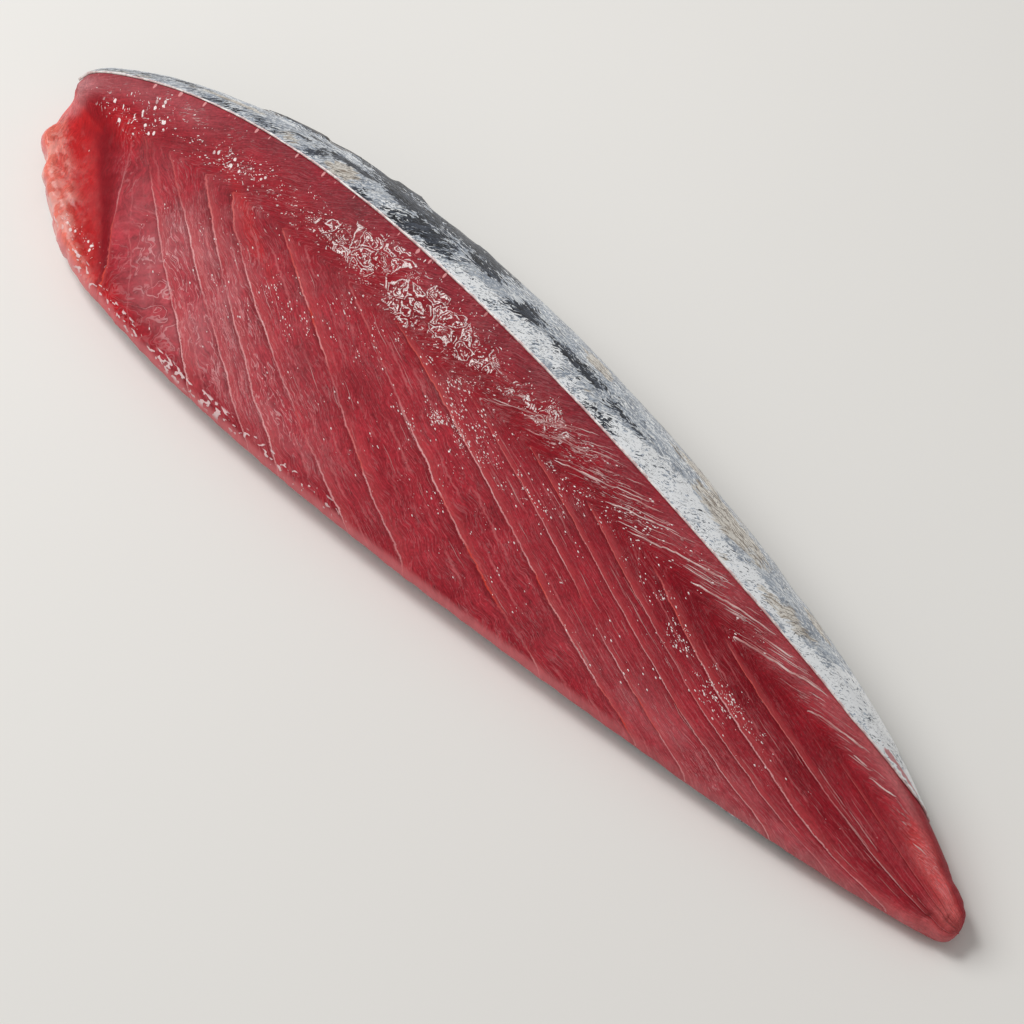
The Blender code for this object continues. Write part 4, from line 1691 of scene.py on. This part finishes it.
def silver_ground(at, many):
    """Silver with blue-grey streaks and flecks, and long dark hairs towards the head."""
    colour = mix(spread(at.streaks, 0.42, 0.58), SILVER, BLUE_GREY)
    colour = mix(spread(at.fine + many, 0.53, 0.58, 0.0, 0.75), colour, GREY_FLECK)
    colour = mix(spread(at.fine, 0.44, 0.38, 0.0, 0.8), colour, BRIGHT_FLECK)
    head_side = spread(at.x, -60.0, -110.0)
    long_dark = spread(at.hairs, 0.54, 0.58) * spread(head_side, 0.0, 1.0, 0.35, 1.0)
    return mix(long_dark * 0.85, colour, LONG_DARK)


def white_band(colour, at, many):
    """The white band beside the cut edge, with grey flecks that thin out towards the tail."""
    few = many - spread(at.x, -10.0, 80.0, 0.0, 0.055)
    pale = mix(spread(at.flecks + few, 0.585, 0.62), BAND_WHITE, BAND_GREY)
    pale = mix(spread(at.fine + few, 0.615, 0.645, 0.0, 0.8), pale, BAND_DARK)
    return mix(spread(at.whitened + around(at.blotches, 1.6), 0.30, 0.38), colour, pale)


def beige_stains(colour, at):
    """Beige stains drawn out in brown hairlines."""
    brown = mix(spread(at.hairs, 0.50, 0.58), BEIGE, BROWN)
    brown = mix(spread(at.fine, 0.56, 0.62, 0.0, 0.7), brown, DEEP_BROWN)
    here = at.stained + (around(at.streaks, 1.2) + around(at.blotches, 1.2))
    return mix(spread(here, 0.42, 0.60, 0.0, 0.9), colour, brown)


def dark_smudges(colour, at):
    """Dark smudges torn into streaks with pale gaps, and thin cracks over everything."""
    dark = mix(spread(at.streaks, 0.42, 0.58), BACK_DARK, BACK_BLUE)
    dark = mix(spread(at.fine, 0.62, 0.66, 0.0, 0.6), dark, BACK_PALE)
    torn = around(at.blotches, 1.6) + around(at.flecks, 1.9) + around(at.hairs, 1.6)
    colour = mix(spread(at.smudged + torn, 0.44, 0.47), colour, dark)
    crack = hairline(at.drawn(0.9, 2.6, 2.0, 1.2), 0.016, 0.006)
    return mix(crack * spread(at.drawn(4.0, 7.0, 2.0), 0.42, 0.56) * 0.85, colour, CRACK)


def turn_and_tail(colour, at):
    """A thin brown line where the skin turns under, a pink tail end, and painted light that makes the
    colour paler where the skin turns away from the lamps and darker again further under.
    """
    near_turn = spread(abs(at.turned - 0.97), 0.06, 0.02)
    parts = spread(at.x, 15.0, 30.0, 0.0, 0.75) + spread(at.x, -60.0, -85.0, 0.0, 0.8)
    colour = mix(near_turn * parts * spread(at.hairs, 0.42, 0.50), colour, TURN_BROWN)
    pink = spread(at.pinkish + around(at.blotches, 1.6), 0.45, 0.6)
    colour = mix(pink * 0.8, colour, TAIL_PINK)
    # painted light: up to 1.3 times paler as the skin turns away from the lamps, 0.77 times as bright
    # beyond the turn
    lift = spread(at.turned, 0.35, 0.8, 1.0, 1.3) * spread(at.turned, 1.2, 1.0, 0.77, 1.0)
    return scaled(colour, lift)


# %% Skin material
def skin_material():
    material, tree, shader = new_material("silver skin")
    at = SkinPlaces(tree)
    many = spread(grain(at.flat, 0.16), 0.35, 0.65, 0.09, -0.05, "LINEAR")
    colour = white_band(silver_ground(at, many), at, many)
    for layer in (beige_stains, dark_smudges, turn_and_tail):
        colour = layer(colour, at)
    edge = mix(spread(grain(at.flat, 0.5, 3.0), 0.4, 0.6), EDGE_PINK, EDGE_FAT)
    fill(shader, {
        "Base Color": mix(spread(at.rim, 0.1, 0.7), colour, edge),
        "Roughness": spread(at.flecks, 0.3, 0.7, 0.34, 0.5), "Metallic": 0.10,
        "Coat Weight": 0.12, "Coat Roughness": 0.15,
        "Normal": bumps(at.flecks * 0.5 + at.hairs * 0.6, 0.0003, 0.7)})
    return material


skin.data.materials.append(skin_material())
print("skin finish set")

# %% [markdown]
# ## Joining the frame
# Each finished piece is told which body carries it and, for the two main pieces, which plain
# solid it stands in for, which is then hidden.

# %% Frame calls
def join_frame(piece, slot, *nodes):
    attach(piece, "root")
    if nodes:
        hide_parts(*nodes)


join_frame(flesh, "flesh", "flesh")
join_frame(threads, "flesh")
join_frame(skin, "skin", "skin")
join_frame(beads, "flesh")
